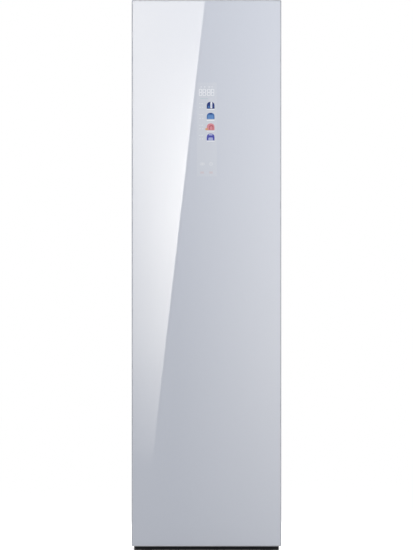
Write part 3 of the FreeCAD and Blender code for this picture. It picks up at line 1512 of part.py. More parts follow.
def coil(name, front, back):
    """A finned coil under the chamber floor: a thin core with fins on both faces, between end plates."""
    body = new_body(name + "_coil")
    pad(body, name + "_block", "z", ("coil_low", "floor_z"), rect(("coil_left", "coil_right"), (front, back)))
    first = "(coil_left + coil_end + fin_gap / 2)"
    middle = f"(({front} + {back}) / 2)"
    faces = (front, f"{middle} - coil_end / 2"), (f"{middle} + coil_end / 2", back)
    for number, (near, far) in enumerate(faces):
        gap = pocket(body, f"{name}_gap_{number}", "z", ("coil_low + coil_end", "floor_z"),
                     rect(around(first, "fin_gap / 2"), (near, far)))
        in_row(body, f"{name}_gaps_{number}", gap, "H_Axis", "fin_run", "fin_count")
    tray = cut(
        name + "_tray",
        block(name + "_tray_blank", ("coil_left", "coil_right"), (front, back), ("tray_low", "coil_low")),
        block(name + "_tray_hollow", ("coil_left + coil_end", "coil_right - coil_end"),
              (f"{front} + coil_end / 2", f"{back} - coil_end / 2"), ("tray_low + coil_end / 2", "coil_low")))
    return node(together(name, body, tray))


def tube(name, radius, points):
    """A pipe along straight runs, with a bend of four times its radius at each middle point."""
    bend, edges, here = 4 * radius, [], points[0]
    for before, corner, after in zip(points, points[1:], points[2:]):
        into, out = (corner - before).normalize(), (after - corner).normalize()
        half_turn = into.getAngle(out) / 2
        start, end = corner - into * bend * math.tan(half_turn), corner + out * bend * math.tan(half_turn)
        inward = (out - into).normalize()
        middle = corner + inward * bend * (1 / math.cos(half_turn) - 1)
        edges += [Part.LineSegment(here, start).toShape(), Part.Arc(start, middle, end).toShape()]
        here = end
    edges.append(Part.LineSegment(here, points[-1]).toShape())
    path = Part.Wire(edges)
    circle = Part.Wire(Part.Circle(points[0], points[1] - points[0], radius).toShape())
    pipe = doc.addObject("Part::Feature", name)
    pipe.Shape = path.makePipeShell([circle], True, True)
    print(f"{name}: {path.Length:.1f} long, {pipe.Shape.Volume / (math.pi * radius ** 2):.1f} by its volume")
    return pipe


def refrigerant_pipes():
    """Copper pipes: hot gas from the compressor's dome to the condenser, cold gas from the evaporator."""
    radius, top, coil_side = size("pipe_radius"), size("comp_high"), size("coil_left")
    hot_x, cold_x = size("comp_x", "pipe_aside"), size("comp_x") - size("pipe_aside")
    hot_z, cold_z = top + size("hot_rise"), top + size("cold_rise")
    lane_x, lane_y, port_y = size("hot_lane"), size("hot_lane_y"), size("cond_port")
    hot = tube("hot_pipe", radius, [
        Vector(hot_x, size("comp_y"), top), Vector(hot_x, size("comp_y"), hot_z), Vector(hot_x, lane_y, hot_z),
        Vector(lane_x, lane_y, hot_z), Vector(lane_x, port_y, hot_z), Vector(coil_side, port_y, hot_z)])
    cold = tube("cold_pipe", radius, [
        Vector(cold_x, size("comp_y"), top), Vector(cold_x, size("comp_y"), cold_z),
        Vector(cold_x, size("evap_port"), cold_z), Vector(coil_side, size("evap_port"), cold_z)])
    return node(together("refrigerant_pipes", hot, cold))


def blower_housing():
    """The scroll that the blower wheel runs in, with a duct up to the floor's outlets, and the fan motor."""
    centre = ("blower_x", "blower_y")

    def volume(name, wall):
        inner, rear = (f"blower_low + {wall}", f"blower_high - {wall}"), f"duct_back - {wall}"
        duct = (f"duct_left + {wall}", f"duct_right - {wall}")
        return joined(
            name,
            rod(name + "_scroll", "z", centre, f"scroll_radius - {wall}", *inner),
            block(name + "_throat", duct, ("blower_y", rear), inner),
            block(name + "_riser", duct, (f"duct_bend + {wall}", rear), (inner[0], "floor_z")))

    housing = cut(
        "scroll", volume("scroll_outer", "0"), volume("scroll_inner", "scroll_wall"),
        rod("intake", "z", centre, "intake_radius", "blower_high - scroll_wall", "blower_high"),
        rod("wheel_shaft_hole", "z", centre, "shaft_hole", "blower_low", "blower_low + scroll_wall"))
    motor = cut(
        "fan_motor",
        rod("fan_motor_can", "z", centre, "fan_motor_radius", "fan_motor_low", "blower_low"),
        rod("fan_motor_bore", "z", centre, "wheel_shaft + shaft_fit", "wheel_shaft_low", "blower_low"))
    return node(together("blower_housing", housing, motor))


def blower_wheel():
    """The centrifugal wheel: back plate, hub and shaft, a ring of blades and a shroud ring on top."""
    wheel = new_body("blower_wheel")
    middle = ("blower_x", "blower_y")
    pad(wheel, "back_plate", "z", ("wheel_low", "wheel_low + wheel_plate"), (*middle, "wheel_radius"))
    pad(wheel, "hub", "z", ("wheel_low", "wheel_low + 2 * wheel_hub"), (*middle, "wheel_hub"))
    pad(wheel, "wheel_shaft_rod", "z", ("wheel_shaft_low", "wheel_low"), (*middle, "wheel_shaft"))
    pad(wheel, "shroud", "z", ("wheel_high - wheel_plate", "wheel_high"),
        (*middle, "wheel_radius"), (*middle, "wheel_inner"))
    blade = wheel.newObject("PartDesign::Pad", "blade")
    tip = "wheel_radius - blade_thick"
    blade.Profile = sketch(wheel, "blade_sketch", "z", "wheel_low + wheel_plate", [
        [("wheel_inner", "0"), (tip, "blade_sweep"), (tip, "blade_sweep + blade_thick"),
         ("wheel_inner", "blade_thick")]], middle)
    blade.setExpression("Length", formula("wheel_high - wheel_low - 2 * wheel_plate"))
    ring = wheel.newObject("PartDesign::PolarPattern", "blades")
    ring.Originals = [blade]
    ring.Axis = (blade.Profile[0], ["N_Axis"])
    ring.Angle = 360
    ring.setExpression("Occurrences", formula("blade_count"))
    wheel.Tip = ring
    return node(wheel)


def steam_generator():
    """The boiler on two legs, with a pipe up to the nozzle in the chamber floor."""
    ends, centre = around("boiler_x", "boiler_half"), ("boiler_x", "boiler_y")
    boiler = new_body("boiler")
    shell = pad(boiler, "boiler_shell", "x", ends, ("boiler_y", "boiler_z", "boiler_radius"))
    dressed(boiler, "Fillet", "boiler_ends", shell, "boiler_round", lambda edge, whole: edge.Closed)
    parts = [boiler, rod("steam_pipe_tube", "z", centre, "steam_pipe", "boiler_z", "nozzle_low")]
    nozzle = new_body("nozzle")
    disc = pad(nozzle, "nozzle_disc", "z", ("nozzle_low", "nozzle_high"), (*centre, "nozzle_radius"))
    dressed(nozzle, "Fillet", "nozzle_dome", disc, "nozzle_round", lies_on("ZMax"))
    parts.append(nozzle)
    for name, sign in (("left", "-"), ("right", "+")):
        leg_x = around(f"boiler_x {sign} boiler_half / 2", "boiler_leg / 2")
        parts.append(block(f"boiler_leg_{name}", leg_x, around("boiler_y", "boiler_leg_half"),
                           ("base_top", "boiler_z - boiler_leg_half / 2")))
    return node(joined("steam_generator", *parts))


def water_pumps():
    """The supply pump and the drain pump, lying on stands under the tank bay."""
    pumps = []
    for name, side in (("drain", "-"), ("supply", "")):
        x = f"{side}pump_x"
        pumps.append(joined(
            f"{name}_pump",
            rod(f"{name}_pump_can", "y", (x, "pump_z"), "pump_radius", *around("pump_y", "pump_half")),
            block(f"{name}_pump_stand", around(x, "pump_stand"), around("pump_y", "pump_stand"),
                  ("base_top", "pump_z"))))
    return node(together("water_pumps", *pumps))


def water_hoses():
    """Hoses from the pumps: one to the boiler, and one from the condensate trays."""
    radius, pump_x, height = size("hose_radius"), size("pump_x"), size("pump_z")
    pump_rear = size("pump_y", "pump_half")
    tray_z, port_x, port_y = size("tray_low"), size("drain_port_x"), size("evap_port")
    supply = tube("supply_hose", radius, [
        Vector(pump_x, pump_rear, height), Vector(pump_x, size("hose_turn_y"), height),
        Vector(0, size("boiler_y"), size("boiler_z")),
        Vector(size("boiler_x", "boiler_half"), size("boiler_y"), size("boiler_z"))])
    drain = tube("drain_hose", radius, [
        Vector(-pump_x, pump_rear, height), Vector(-pump_x, port_y, height),
        Vector(port_x, port_y, height), Vector(port_x, port_y, tray_z)])
    return node(together("water_hoses", supply, drain))


def control_box():
    """The electronics box at the back, with its lid."""
    box = new_body("control_box")
    x, y = ("control_left", "control_right"), ("control_front", "control_back")
    pad(box, "control_case", "z", ("base_top", "control_high"), rect(x, y))
    lid = pad(box, "control_lid_plate", "z", ("control_high", "control_high + control_lid"),
              rect(("control_left - control_lid", "control_right + control_lid"),
                   ("control_front - control_lid", "control_back + control_lid")))
    dressed(box, "Fillet", "control_lid_edges", lid, "control_lid / 2", lies_on("ZMax"))
    return node(box)


def power_inlet():
    """The appliance inlet in the machine cover: a flange, a case with a cavity, and three flat blades."""
    inlet = new_body("power_inlet")
    face = f"({BACK_FACE} + head_thick)"
    cavity_end = f"({face} - inlet_cavity_deep)"

    def square(half_width, half_height, x="0", z="0"):
        return rect(around(f"-inlet_x + {x}", half_width), around(f"inlet_z + {z}", half_height))

    pad(inlet, "inlet_flange_plate", "y", (BACK_FACE, face), square("inlet_flange", "inlet_flange_high"))
    pad(inlet, "inlet_case_box", "y", (f"{BACK_FACE} - inlet_case_deep", BACK_FACE),
        square("inlet_case", "inlet_case_high"))
    pocket(inlet, "inlet_cavity_cut", "y", (cavity_end, face), square("inlet_cavity", "inlet_cavity_high"))
    blades = {"earth": ("0", "inlet_blade_z"), "live": ("-inlet_blade_x", "-inlet_blade_z"),
              "neutral": ("inlet_blade_x", "-inlet_blade_z")}
    for name, (x, z) in blades.items():
        pad(inlet, f"blade_{name}", "y", (cavity_end, f"{cavity_end} + inlet_blade_long"),
            square("inlet_blade", "inlet_blade_high", x, z))
    return node(inlet)


def build():
    """Every sub-part, from the outside in."""
    door_trim()
    door_glass()
    door_backing()
    display_module()
    door_grip_profile()
    door_hinge_profile()
    door_end_caps()
    door_foam()
    door_liner()
    door_gasket()
    press_base()
    press_cover()
    front_frame()
    side_panel("left_side_panel", -1)
    side_panel("right_side_panel", 1)
    top_panel()
    back_panel()
    rear_machine_cover()
    panel_screws()
    base_frame()
    levelling_feet()
    kick_plate()
    top_front_cover()
    hinge_brackets()
    cabinet_insulation()
    inner_wall("left_inner_wall", -1)
    inner_wall("right_inner_wall", 1)
    inner_back_wall()
    ceiling_panel()
    lamp_lens()
    chamber_floor()
    shelf()
    hanger_bar()
    hanger_carriage()
    guide_rods()
    hanger_drive_frame()
    hanger_motor()
    drive_crank()
    motor_pulley()
    drive_belt()
    tank_bay()
    filter_tower()
    lint_filter()
    for water, side in (("supply_tank", 1), ("drain_tank", -1)):
        tank(water, side)
        tank_handle(water + "_handle", side)
        tank_lid(water + "_lid", side)
    compressor()
    coil("evaporator", "evap_front", "evap_back")
    coil("condenser", "cond_front", "cond_back")
    refrigerant_pipes()
    blower_housing()
    blower_wheel()
    steam_generator()
    water_pumps()
    water_hoses()
    control_box()
    power_inlet()


def check():
    """Stop if an object failed or a sub-part is empty or broken."""
    failed = [each.Name for each in doc.Objects if {"Invalid", "Error"} & set(each.State)]
    broken = [each.Label for each in NODES if each.Shape.isNull() or not each.Shape.isValid()]
    if failed or broken:
        raise SystemExit(f"failed objects: {failed}; broken sub-parts: {broken}")


def export():
    """One STEP file for each sub-part."""
    os.makedirs("parts", exist_ok=True)
    for each in NODES:
        each.Shape.exportStep(f"parts/{each.Label}.step")
        box = each.Shape.BoundBox
        print(f"{each.Label:22} solids {len(each.Shape.Solids):2}  volume {each.Shape.Volume / 1000:9.1f} cm3",
              f" x {box.XMin:7.1f} {box.XMax:7.1f}  y {box.YMin:7.1f} {box.YMax:7.1f}",
              f" z {box.ZMin:7.1f} {box.ZMax:7.1f}")
    print(len(NODES), "sub-parts")


build()
doc.recompute()
check()
export()
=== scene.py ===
# %% [markdown]
# # Clothes care steam cabinet
# The cabinet is a tall slim wardrobe with a silver glass door. Inside are a moving hanger bar, a shelf, two
# water tanks and a heat-pump machine. Its solid parts come ready made. This lesson gives each a finish, and
# models what they leave plain: the display, screw heads, the ribbed door seal, the pads of the trouser press
# and the marks on the tanks.

# %% Load the cabinet
import json
import math

import bmesh
import bpy
from mathutils import Matrix, Vector


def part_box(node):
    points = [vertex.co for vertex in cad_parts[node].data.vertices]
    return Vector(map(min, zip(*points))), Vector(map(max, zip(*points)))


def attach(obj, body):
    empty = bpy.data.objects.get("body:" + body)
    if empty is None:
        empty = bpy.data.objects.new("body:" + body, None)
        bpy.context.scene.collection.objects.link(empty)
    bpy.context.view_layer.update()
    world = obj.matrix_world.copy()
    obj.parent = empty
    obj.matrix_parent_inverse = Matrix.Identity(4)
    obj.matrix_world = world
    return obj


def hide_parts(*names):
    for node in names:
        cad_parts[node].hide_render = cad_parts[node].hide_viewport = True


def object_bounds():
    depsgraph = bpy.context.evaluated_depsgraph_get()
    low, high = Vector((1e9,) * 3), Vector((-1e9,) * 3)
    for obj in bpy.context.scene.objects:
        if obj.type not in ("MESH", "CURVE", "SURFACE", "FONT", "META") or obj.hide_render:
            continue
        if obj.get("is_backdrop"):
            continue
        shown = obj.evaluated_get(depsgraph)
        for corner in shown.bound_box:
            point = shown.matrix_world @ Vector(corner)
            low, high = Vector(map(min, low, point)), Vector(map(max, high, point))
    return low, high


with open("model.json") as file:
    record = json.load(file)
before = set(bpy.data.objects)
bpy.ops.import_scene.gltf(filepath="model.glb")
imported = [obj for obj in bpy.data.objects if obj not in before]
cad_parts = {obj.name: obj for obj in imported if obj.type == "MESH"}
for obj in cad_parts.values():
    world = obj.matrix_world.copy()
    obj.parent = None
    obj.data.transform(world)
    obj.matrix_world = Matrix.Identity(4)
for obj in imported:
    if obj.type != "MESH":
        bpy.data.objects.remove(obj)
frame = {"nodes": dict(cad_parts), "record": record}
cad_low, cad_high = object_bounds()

MM = 0.001
print("the cabinet is", [round(side, 3) for side in cad_high - cad_low], "m in", len(frame["nodes"]), "parts")

# %% [markdown]
# ## The camera
# A tall cabinet is seen from far away through a long lens, so that its sides stay parallel. The lens follows
# from how far the camera stands off and how tall the cabinet is. The whole height but the floor gap fills
# the picture, because the sensor's long side stands upright.

# %% Place the camera
SENSOR = 36.0
STAND_OFF = 45.0
FLOOR_GAP = 2.8 * MM

door_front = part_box("door_trim")[0].y
eye_level = (cad_low.z + FLOOR_GAP + cad_high.z) / 2
lens = bpy.data.cameras.new("long lens")
lens.sensor_width = SENSOR
lens.lens = SENSOR * STAND_OFF / (cad_high.z - cad_low.z - FLOOR_GAP)
lens.clip_end = 5 * STAND_OFF
camera = bpy.data.objects.new("camera", lens)
camera.location = (0, door_front - STAND_OFF, eye_level)
camera.rotation_euler = (math.radians(90), 0, 0)
scene = bpy.context.scene
scene.collection.objects.link(camera)
scene.camera = camera
scene.view_settings.view_transform = "Standard"
print("the lens is", round(lens.lens), "mm long")

# %% [markdown]
# ## Wiring shader nodes
# Every finish below is a small network of nodes, and a few helpers keep the networks short. The first feeds
# a socket with a plain value or another node's output, the second makes a node and feeds it, and the others
# are arithmetic, ranges, colour mixes, places and noise.

# %% Helpers for shader nodes
def feed(tree, socket, value):
    """Gives a socket a plain value, or joins it to another node's output."""
    if isinstance(value, bpy.types.NodeSocket):
        tree.links.new(value, socket)
    else:
        socket.default_value = value


def add_node(tree, kind, inputs=None, **settings):
    """Makes one node with its settings, and feeds its named or numbered inputs."""
    made = tree.nodes.new("ShaderNode" + kind)
    for setting, value in settings.items():
        setattr(made, setting, value)
    for socket, value in (inputs or {}).items():
        feed(tree, made.inputs[socket], value)
    return made


def maths(tree, operation, *values):
    """One step of arithmetic on single numbers."""
    return add_node(tree, "Math", dict(enumerate(values)), operation=operation).outputs[0]


def times(tree, first, second):
    """The product of two numbers."""
    return maths(tree, "MULTIPLY", first, second)


def ranged(tree, value, low, high, to_low=0.0, to_high=1.0):
    """Stretches the span from low to high onto a new span, and holds it at both ends."""
    return add_node(tree, "MapRange", {"Value": value, "From Min": low, "From Max": high,
                                       "To Min": to_low, "To Max": to_high}).outputs[0]


def mixed(tree, share, first, second):
    """Mixes two colours: share 0 gives the first and share 1 the second."""
    return add_node(tree, "Mix", {0: share, 6: first, 7: second}, data_type="RGBA").outputs[2]


def here(tree):
    """The place on the cabinet, in metres."""
    return add_node(tree, "TexCoord").outputs["Object"]


def along(tree, place):
    """A place's three distances, by the names of their axes."""
    return add_node(tree, "SeparateXYZ", {"Vector": place}).outputs


def noise(tree, scale, detail, place=None, **more):
    """Random clouds: a larger scale makes them smaller, and more detail makes them rougher."""
    inputs = {"Vector": place or here(tree), "Scale": scale, "Detail": detail, **more}
    return add_node(tree, "TexNoise", inputs).outputs[0]


# %% [markdown]
# ## The studio
# The cabinet stands on a pale floor in an even white room. The room looks fully white to the camera and in
# mirrors and glass, and lights matt surfaces with less, so that the key lamp can shade the door from top to
# bottom. The floor is white to the camera too, but keeps some real shading, for the cabinet's soft shadow.

# %% Light the room
ROOM_LIGHT = 0.56
WHITE = (1, 1, 1, 1)


def seen_directly(tree):
    """1 for rays from the camera, in mirrors and through glass, and 0 for those that only light things."""
    rays = add_node(tree, "LightPath").outputs
    mirror_or_glass = maths(tree, "MAXIMUM", rays["Is Glossy Ray"], rays["Is Transmission Ray"])
    return maths(tree, "MAXIMUM", rays["Is Camera Ray"], mirror_or_glass)


room = bpy.data.worlds.new("white room")
room.use_nodes = True
scene.world = room
level = ranged(room.node_tree, seen_directly(room.node_tree), 0.0, 1.0, ROOM_LIGHT, 1.0)
backdrop = room.node_tree.nodes["Background"].inputs
feed(room.node_tree, backdrop["Color"], WHITE)
feed(room.node_tree, backdrop["Strength"], level)
print("the room gives matt surfaces", ROOM_LIGHT, "of its light")


# %% Hang the lamps
# square soft lamp: place, aim, width in metres, power in watts
MIDDLE = (0, 0, eye_level)
LAMPS = {
    "key lamp": ((0.9, -2.3, 2.1), (0, door_front, 1.4), 1.2, 24),
    "left lamp": ((-4.2, 1.2, 2.4), MIDDLE, 1.8, 75),
    "right lamp": ((4.2, 1.2, 2.4), MIDDLE, 1.8, 75),
    "back lamp": ((0.4, 4.4, 2.6), MIDDLE, 1.8, 85),
}
for name, (place, aim, width, power) in LAMPS.items():
    light = bpy.data.lights.new(name, "AREA")
    light.size, light.energy = width, power
    lamp = bpy.data.objects.new(name, light)
    lamp.location = place
    lamp.rotation_euler = (Vector(aim) - Vector(place)).to_track_quat("-Z", "Y").to_euler()
    lamp.visible_camera = lamp.visible_glossy = False
    scene.collection.objects.link(lamp)
print(len(LAMPS), "lamps")

# %% Helpers for materials and meshes
def bare_material(name):
    """A named material with an empty network."""
    material = bpy.data.materials.new(name)
    material.use_nodes = True
    material.node_tree.nodes.clear()
    return material, material.node_tree


def make_object(name, mesh, *materials):
    """Makes an object of a bmesh, with its materials, and puts it in the scene."""
    data = bpy.data.meshes.new(name)
    mesh.to_mesh(data)
    mesh.free()
    for material in materials:
        data.materials.append(material)
    made = bpy.data.objects.new(name, data)
    scene.collection.objects.link(made)
    return made


def turn(mesh, degrees, axis="X"):
    """Turns a whole bmesh about an axis through the origin."""
    bmesh.ops.rotate(mesh, verts=mesh.verts, matrix=Matrix.Rotation(math.radians(degrees), 3, axis))


def shift(mesh, across, back, up):
    """Moves a whole bmesh."""
    bmesh.ops.translate(mesh, verts=mesh.verts, vec=(across, back, up))


# %% Lay the floor
FLOOR_HALF = 40.0
FLOOR_SHADE = (0.30, 0.30, 0.30, 1)
FLOOR_SEEN_SHADE = (0.50, 0.50, 0.50, 1)
FLOOR_GLOW = 0.72

floor_paint, tree = bare_material("pale floor")
matt = add_node(tree, "BsdfDiffuse", {"Color": FLOOR_SHADE})
seen = add_node(tree, "BsdfDiffuse", {"Color": FLOOR_SEEN_SHADE})
glow = add_node(tree, "Emission", {"Color": WHITE, "Strength": FLOOR_GLOW})
bright = add_node(tree, "AddShader", {0: seen.outputs[0], 1: glow.outputs[0]})
chosen = add_node(tree, "MixShader", {0: seen_directly(tree), 1: matt.outputs[0], 2: bright.outputs[0]})
add_node(tree, "OutputMaterial", {"Surface": chosen.outputs[0]})
mesh = bmesh.new()
bmesh.ops.create_grid(mesh, x_segments=1, y_segments=1, size=FLOOR_HALF)
floor = make_object("floor", mesh, floor_paint)
floor.visible_glossy = False
floor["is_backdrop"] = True
print("the floor reaches", FLOOR_HALF, "m each way")

# %% [markdown]
# ## The tall panel that the door mirrors
# Plain glass in an even room looks flat. A tall lit panel in front of the door gives it a bright field
# with a sharp slanted edge. It is seen only in mirrors. What the door shows at a spot lies on the panel at
# that spot's height and side, both a little further from the eye line, so one scale turns a place on the
# panel back into a place on the door.

# %% Stand the mirrored panel
PANEL_GAP = 25.0
PANEL_MARGIN = 0.02
EDGE_AT_TOP = -0.0043
EDGE_SLANT = 0.1146
EDGE_BLUR = 0.001
PANEL_LIGHT = 10.3
SIDE_START = -0.10
PANEL_TINT = (1.0, 0.955, 0.87, 1)

door_low, door_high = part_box("door_trim")
spread = 1 + PANEL_GAP / STAND_OFF
panel_paint, tree = bare_material("lit panel")
on_door = add_node(tree, "Mapping", {
    "Vector": here(tree), "Scale": (1 / spread, 1, 1 / spread),
    "Location": (0, 0, eye_level - eye_level / spread)})
door_place = along(tree, on_door.outputs[0])
below_top = maths(tree, "SUBTRACT", door_high.z, door_place["Z"])
edge = maths(tree, "SUBTRACT", EDGE_AT_TOP, times(tree, EDGE_SLANT, below_top))
inside = maths(tree, "SUBTRACT", edge, door_place["X"])


def down_the_door(stops):
    """A brightness that changes from the door's top, 0, to its foot, 1, through a few stops."""
    ramp = add_node(tree, "ValToRGB", {"Fac": ranged(tree, below_top, 0.0, door_high.z)})
    ramp.color_ramp.interpolation = "CARDINAL"
    for place, _ in stops[1:-1]:
        ramp.color_ramp.elements.new(place)
    for stop, (place, light) in zip(ramp.color_ramp.elements, stops):
        stop.position, stop.color = place, (light, light, light, 1)
    return ramp.outputs[0]


by_edge = down_the_door([
    (0.0, 0.57), (0.11, 0.70), (0.33, 1.0), (0.47, 0.88), (0.64, 0.51), (0.82, 0.09), (0.9, 0.0)])
by_left = down_the_door([(0.0, 0.71), (0.33, 0.60), (0.64, 0.32), (0.82, 0.05), (0.9, 0.0)])
by_right = down_the_door([(0.0, 0.14), (0.25, 0.24), (0.5, 0.30), (0.75, 0.23), (1.0, 0.10)])
to_left = maths(tree, "DIVIDE", inside, maths(tree, "SUBTRACT", edge, door_low.x))
field = add_node(tree, "Mix", {0: to_left, 2: by_edge, 3: by_left}).outputs[0]
field = times(tree, field, ranged(tree, inside, 0.0, EDGE_BLUR))
to_right = ranged(tree, door_place["X"], SIDE_START, door_high.x)
total = maths(tree, "ADD", field, times(tree, to_right, by_right))
strength = maths(tree, "MULTIPLY_ADD", total, PANEL_LIGHT, 1.0)
lit = add_node(tree, "Emission", {"Color": PANEL_TINT, "Strength": strength})
add_node(tree, "OutputMaterial", {"Surface": lit.outputs[0]})

mesh = bmesh.new()
bmesh.ops.create_grid(mesh, x_segments=1, y_segments=1, size=0.5)
bmesh.ops.scale(mesh, verts=mesh.verts, vec=(
    spread * (door_high.x - door_low.x) + PANEL_MARGIN, spread * (door_high.z - door_low.z), 1))
turn(mesh, 90)
shift(mesh, 0, door_front - PANEL_GAP, eye_level + spread * ((door_low.z + door_high.z) / 2 - eye_level))
panel = make_object("mirrored_panel", mesh, panel_paint)
for rays in ("camera", "diffuse", "transmission", "volume_scatter", "shadow"):
    setattr(panel, "visible_" + rays, False)
panel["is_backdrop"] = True
print("the mirrored panel is", [round(side, 2) for side in panel.dimensions], "m")

# %% [markdown]
# ## Shared surface effects
# Some effects return on many finishes: the fine grain of moulded plastic, the drawn lines of metal, dust and
# hand marks, and edges that are rubbed bright. Each is a shader group, placed in a finish with its own
# values. A group only gives out masks and heights. The shader itself stays in the finish.

# %% Helper for shader groups
def new_effect(name, inputs, outputs):
    """An empty shader group with named number inputs and outputs, and its two end nodes' sockets."""
    tree = bpy.data.node_groups.new(name, "ShaderNodeTree")
    for label, value in inputs.items():
        socket = tree.interface.new_socket(name=label, in_out="INPUT", socket_type="NodeSocketFloat")
        socket.default_value = value
    for label in outputs:
        tree.interface.new_socket(name=label, in_out="OUTPUT", socket_type="NodeSocketFloat")
    print("the effect", name, "gives", ", ".join(outputs))
    return tree, tree.nodes.new("NodeGroupInput").outputs, tree.nodes.new("NodeGroupOutput").inputs


def place_effect(tree, effect, **values):
    """Puts an effect in a finish, with its own values, and returns its outputs."""
    placed = add_node(tree, "Group", node_tree=effect)
    for label, value in values.items():
        feed(tree, placed.inputs[label.replace("_", " ")], value)
    return placed.outputs


# %% Moulded grain
# Height is the fine texture of the mould, and Cloud the faint unevenness of colour over a hand's width.
# Noise keeps mostly between 0.3 and 0.7, so a mask stretches that span to the whole range from 0 to 1.
MOST_NOISE = (0.3, 0.7)
grain, given, gives = new_effect("moulded grain", {"Grains": 900.0, "Cloud Size": 0.12}, ("Height", "Cloud"))
patches = noise(grain, maths(grain, "DIVIDE", 1.0, given["Cloud Size"]), 3.0)
feed(grain, gives["Height"], noise(grain, given["Grains"], 2.0))
feed(grain, gives["Cloud"], ranged(grain, patches, *MOST_NOISE))

# %% Drawn lines
# Noise that is stretched a hundredfold one way makes the fine lines of brushed or extruded metal.
STREAK_SHARE = 0.12
lines, given, gives = new_effect(
    "drawn lines", {"Across": 1800.0, "Run X": 1.0, "Run Y": 1.0, "Run Z": 0.01}, ("Height", "Streak"))
stretch = add_node(lines, "CombineXYZ", {"X": given["Run X"], "Y": given["Run Y"], "Z": given["Run Z"]})
drawn = add_node(lines, "VectorMath", {0: here(lines), 1: stretch.outputs[0]}, operation="MULTIPLY")
broad = noise(lines, times(lines, given["Across"], STREAK_SHARE), 2.0, drawn.outputs[0])
feed(lines, gives["Height"], noise(lines, given["Across"], 1.0, drawn.outputs[0]))
feed(lines, gives["Streak"], ranged(lines, broad, *MOST_NOISE))

# %% Dust and hand marks
# Dust settles on what faces up. Hand marks are soft smears that change the gloss and not the colour.
DRIFTS, SMEARS = 38.0, 11.0
use, given, gives = new_effect("dust and hand marks", {"Dust": 0.3, "Marks": 0.5}, ("Dust", "Marks"))
upward = along(use, add_node(use, "NewGeometry").outputs["Normal"])["Z"]
drifts = ranged(use, noise(use, DRIFTS, 5.0, Roughness=0.7), 0.35, 0.75, 0.25, 1.0)
settled = times(use, ranged(use, upward, 0.2, 1.0), drifts)
smears = ranged(use, noise(use, SMEARS, 4.0, Distortion=1.2), 0.48, 0.72)
feed(use, gives["Dust"], times(use, settled, given["Dust"]))
feed(use, gives["Marks"], times(use, smears, given["Marks"]))

# %% Rubbed edges
# The Bevel node gives the direction that a surface would have if its edges were round. Where that differs
# from the real direction there is an edge, and the difference, broken up by noise, is where hands rub.
RUBS = 140.0
rubbed, given, gives = new_effect("rubbed edges", {"Reach": 0.0015, "Wear": 0.5}, ("Edge",))
soft = add_node(rubbed, "Bevel", {"Radius": given["Reach"]}, samples=4).outputs[0]
facing = add_node(rubbed, "NewGeometry").outputs["Normal"]
alike = add_node(rubbed, "VectorMath", {0: soft, 1: facing}, operation="DOT_PRODUCT").outputs["Value"]
broken = ranged(rubbed, noise(rubbed, RUBS, 4.0), 0.4, 0.62)
at_edge = times(rubbed, ranged(rubbed, alike, 0.99, 0.85), broken)
feed(rubbed, gives["Edge"], times(rubbed, at_edge, given["Wear"]))

# %% [markdown]
# ## A finish
# A finish is one Principled shader, with its plain values on the shader's own sockets. What changes over the
# surface comes from the effects: the colour clouds, dust lies on top, hand marks alter the gloss, and the
# height bends the light. Depths are real ones.

# %% Helper for finishes
DUST_COLOUR = (0.52, 0.50, 0.47, 1)
CLOUD_SHADE = 0.5
RUB_LIGHTER = 0.25
MARKS_DULL, DUST_DULL = 0.12, 0.4
finishes = {}


def new_finish(name, **plain):
    """A named material with a Principled shader, whose plain values are set on its own sockets."""
    material = bpy.data.materials.new(name.replace("_", " "))
    material.use_nodes = True
    finishes[name] = material
    shader = material.node_tree.nodes["Principled BSDF"]
    for label, value in plain.items():
        shader.inputs[label.replace("_", " ")].default_value = value
    return material.node_tree, shader.inputs


def cover_surface(tree, inputs, colour, gloss, clouds, deepen=0.06, dust=0.25, marks=0.3, edges=None):
    """Colour and roughness that cloud, gather dust, take hand marks and rub bright at the edges."""
    darker = (*(CLOUD_SHADE * part for part in colour), 1)
    tone = mixed(tree, times(tree, clouds, deepen), (*colour, 1), darker)
    if edges:
        tone = mixed(tree, edges, tone, (*(min(1.0, RUB_LIGHTER + part) for part in colour), 1))
    worn = place_effect(tree, use, Dust=dust, Marks=marks)
    feed(tree, inputs["Base Color"], mixed(tree, worn["Dust"], tone, DUST_COLOUR))
    dulled = maths(tree, "MULTIPLY_ADD", worn["Marks"], MARKS_DULL, gloss)
    feed(tree, inputs["Roughness"], maths(tree, "MULTIPLY_ADD", worn["Dust"], DUST_DULL, dulled))


def bump(tree, inputs, height, depth):
    """Bends the light as a relief of that depth would."""
    relief = add_node(tree, "Bump", {"Height": height, "Distance": depth, "Strength": 1.0})
    feed(tree, inputs["Normal"], relief.outputs[0])


# %% [markdown]
# ## Moulded plastic and rubber
# Liners, covers, wheels and seals come out of moulds whose walls are etched or polished, so they share one
# recipe and differ in colour, gloss, grain and wear. Rubber is the same recipe, duller and with a bloom of
# dust. Black plastic mirrors less than the rest, so that the plinth stays dark.

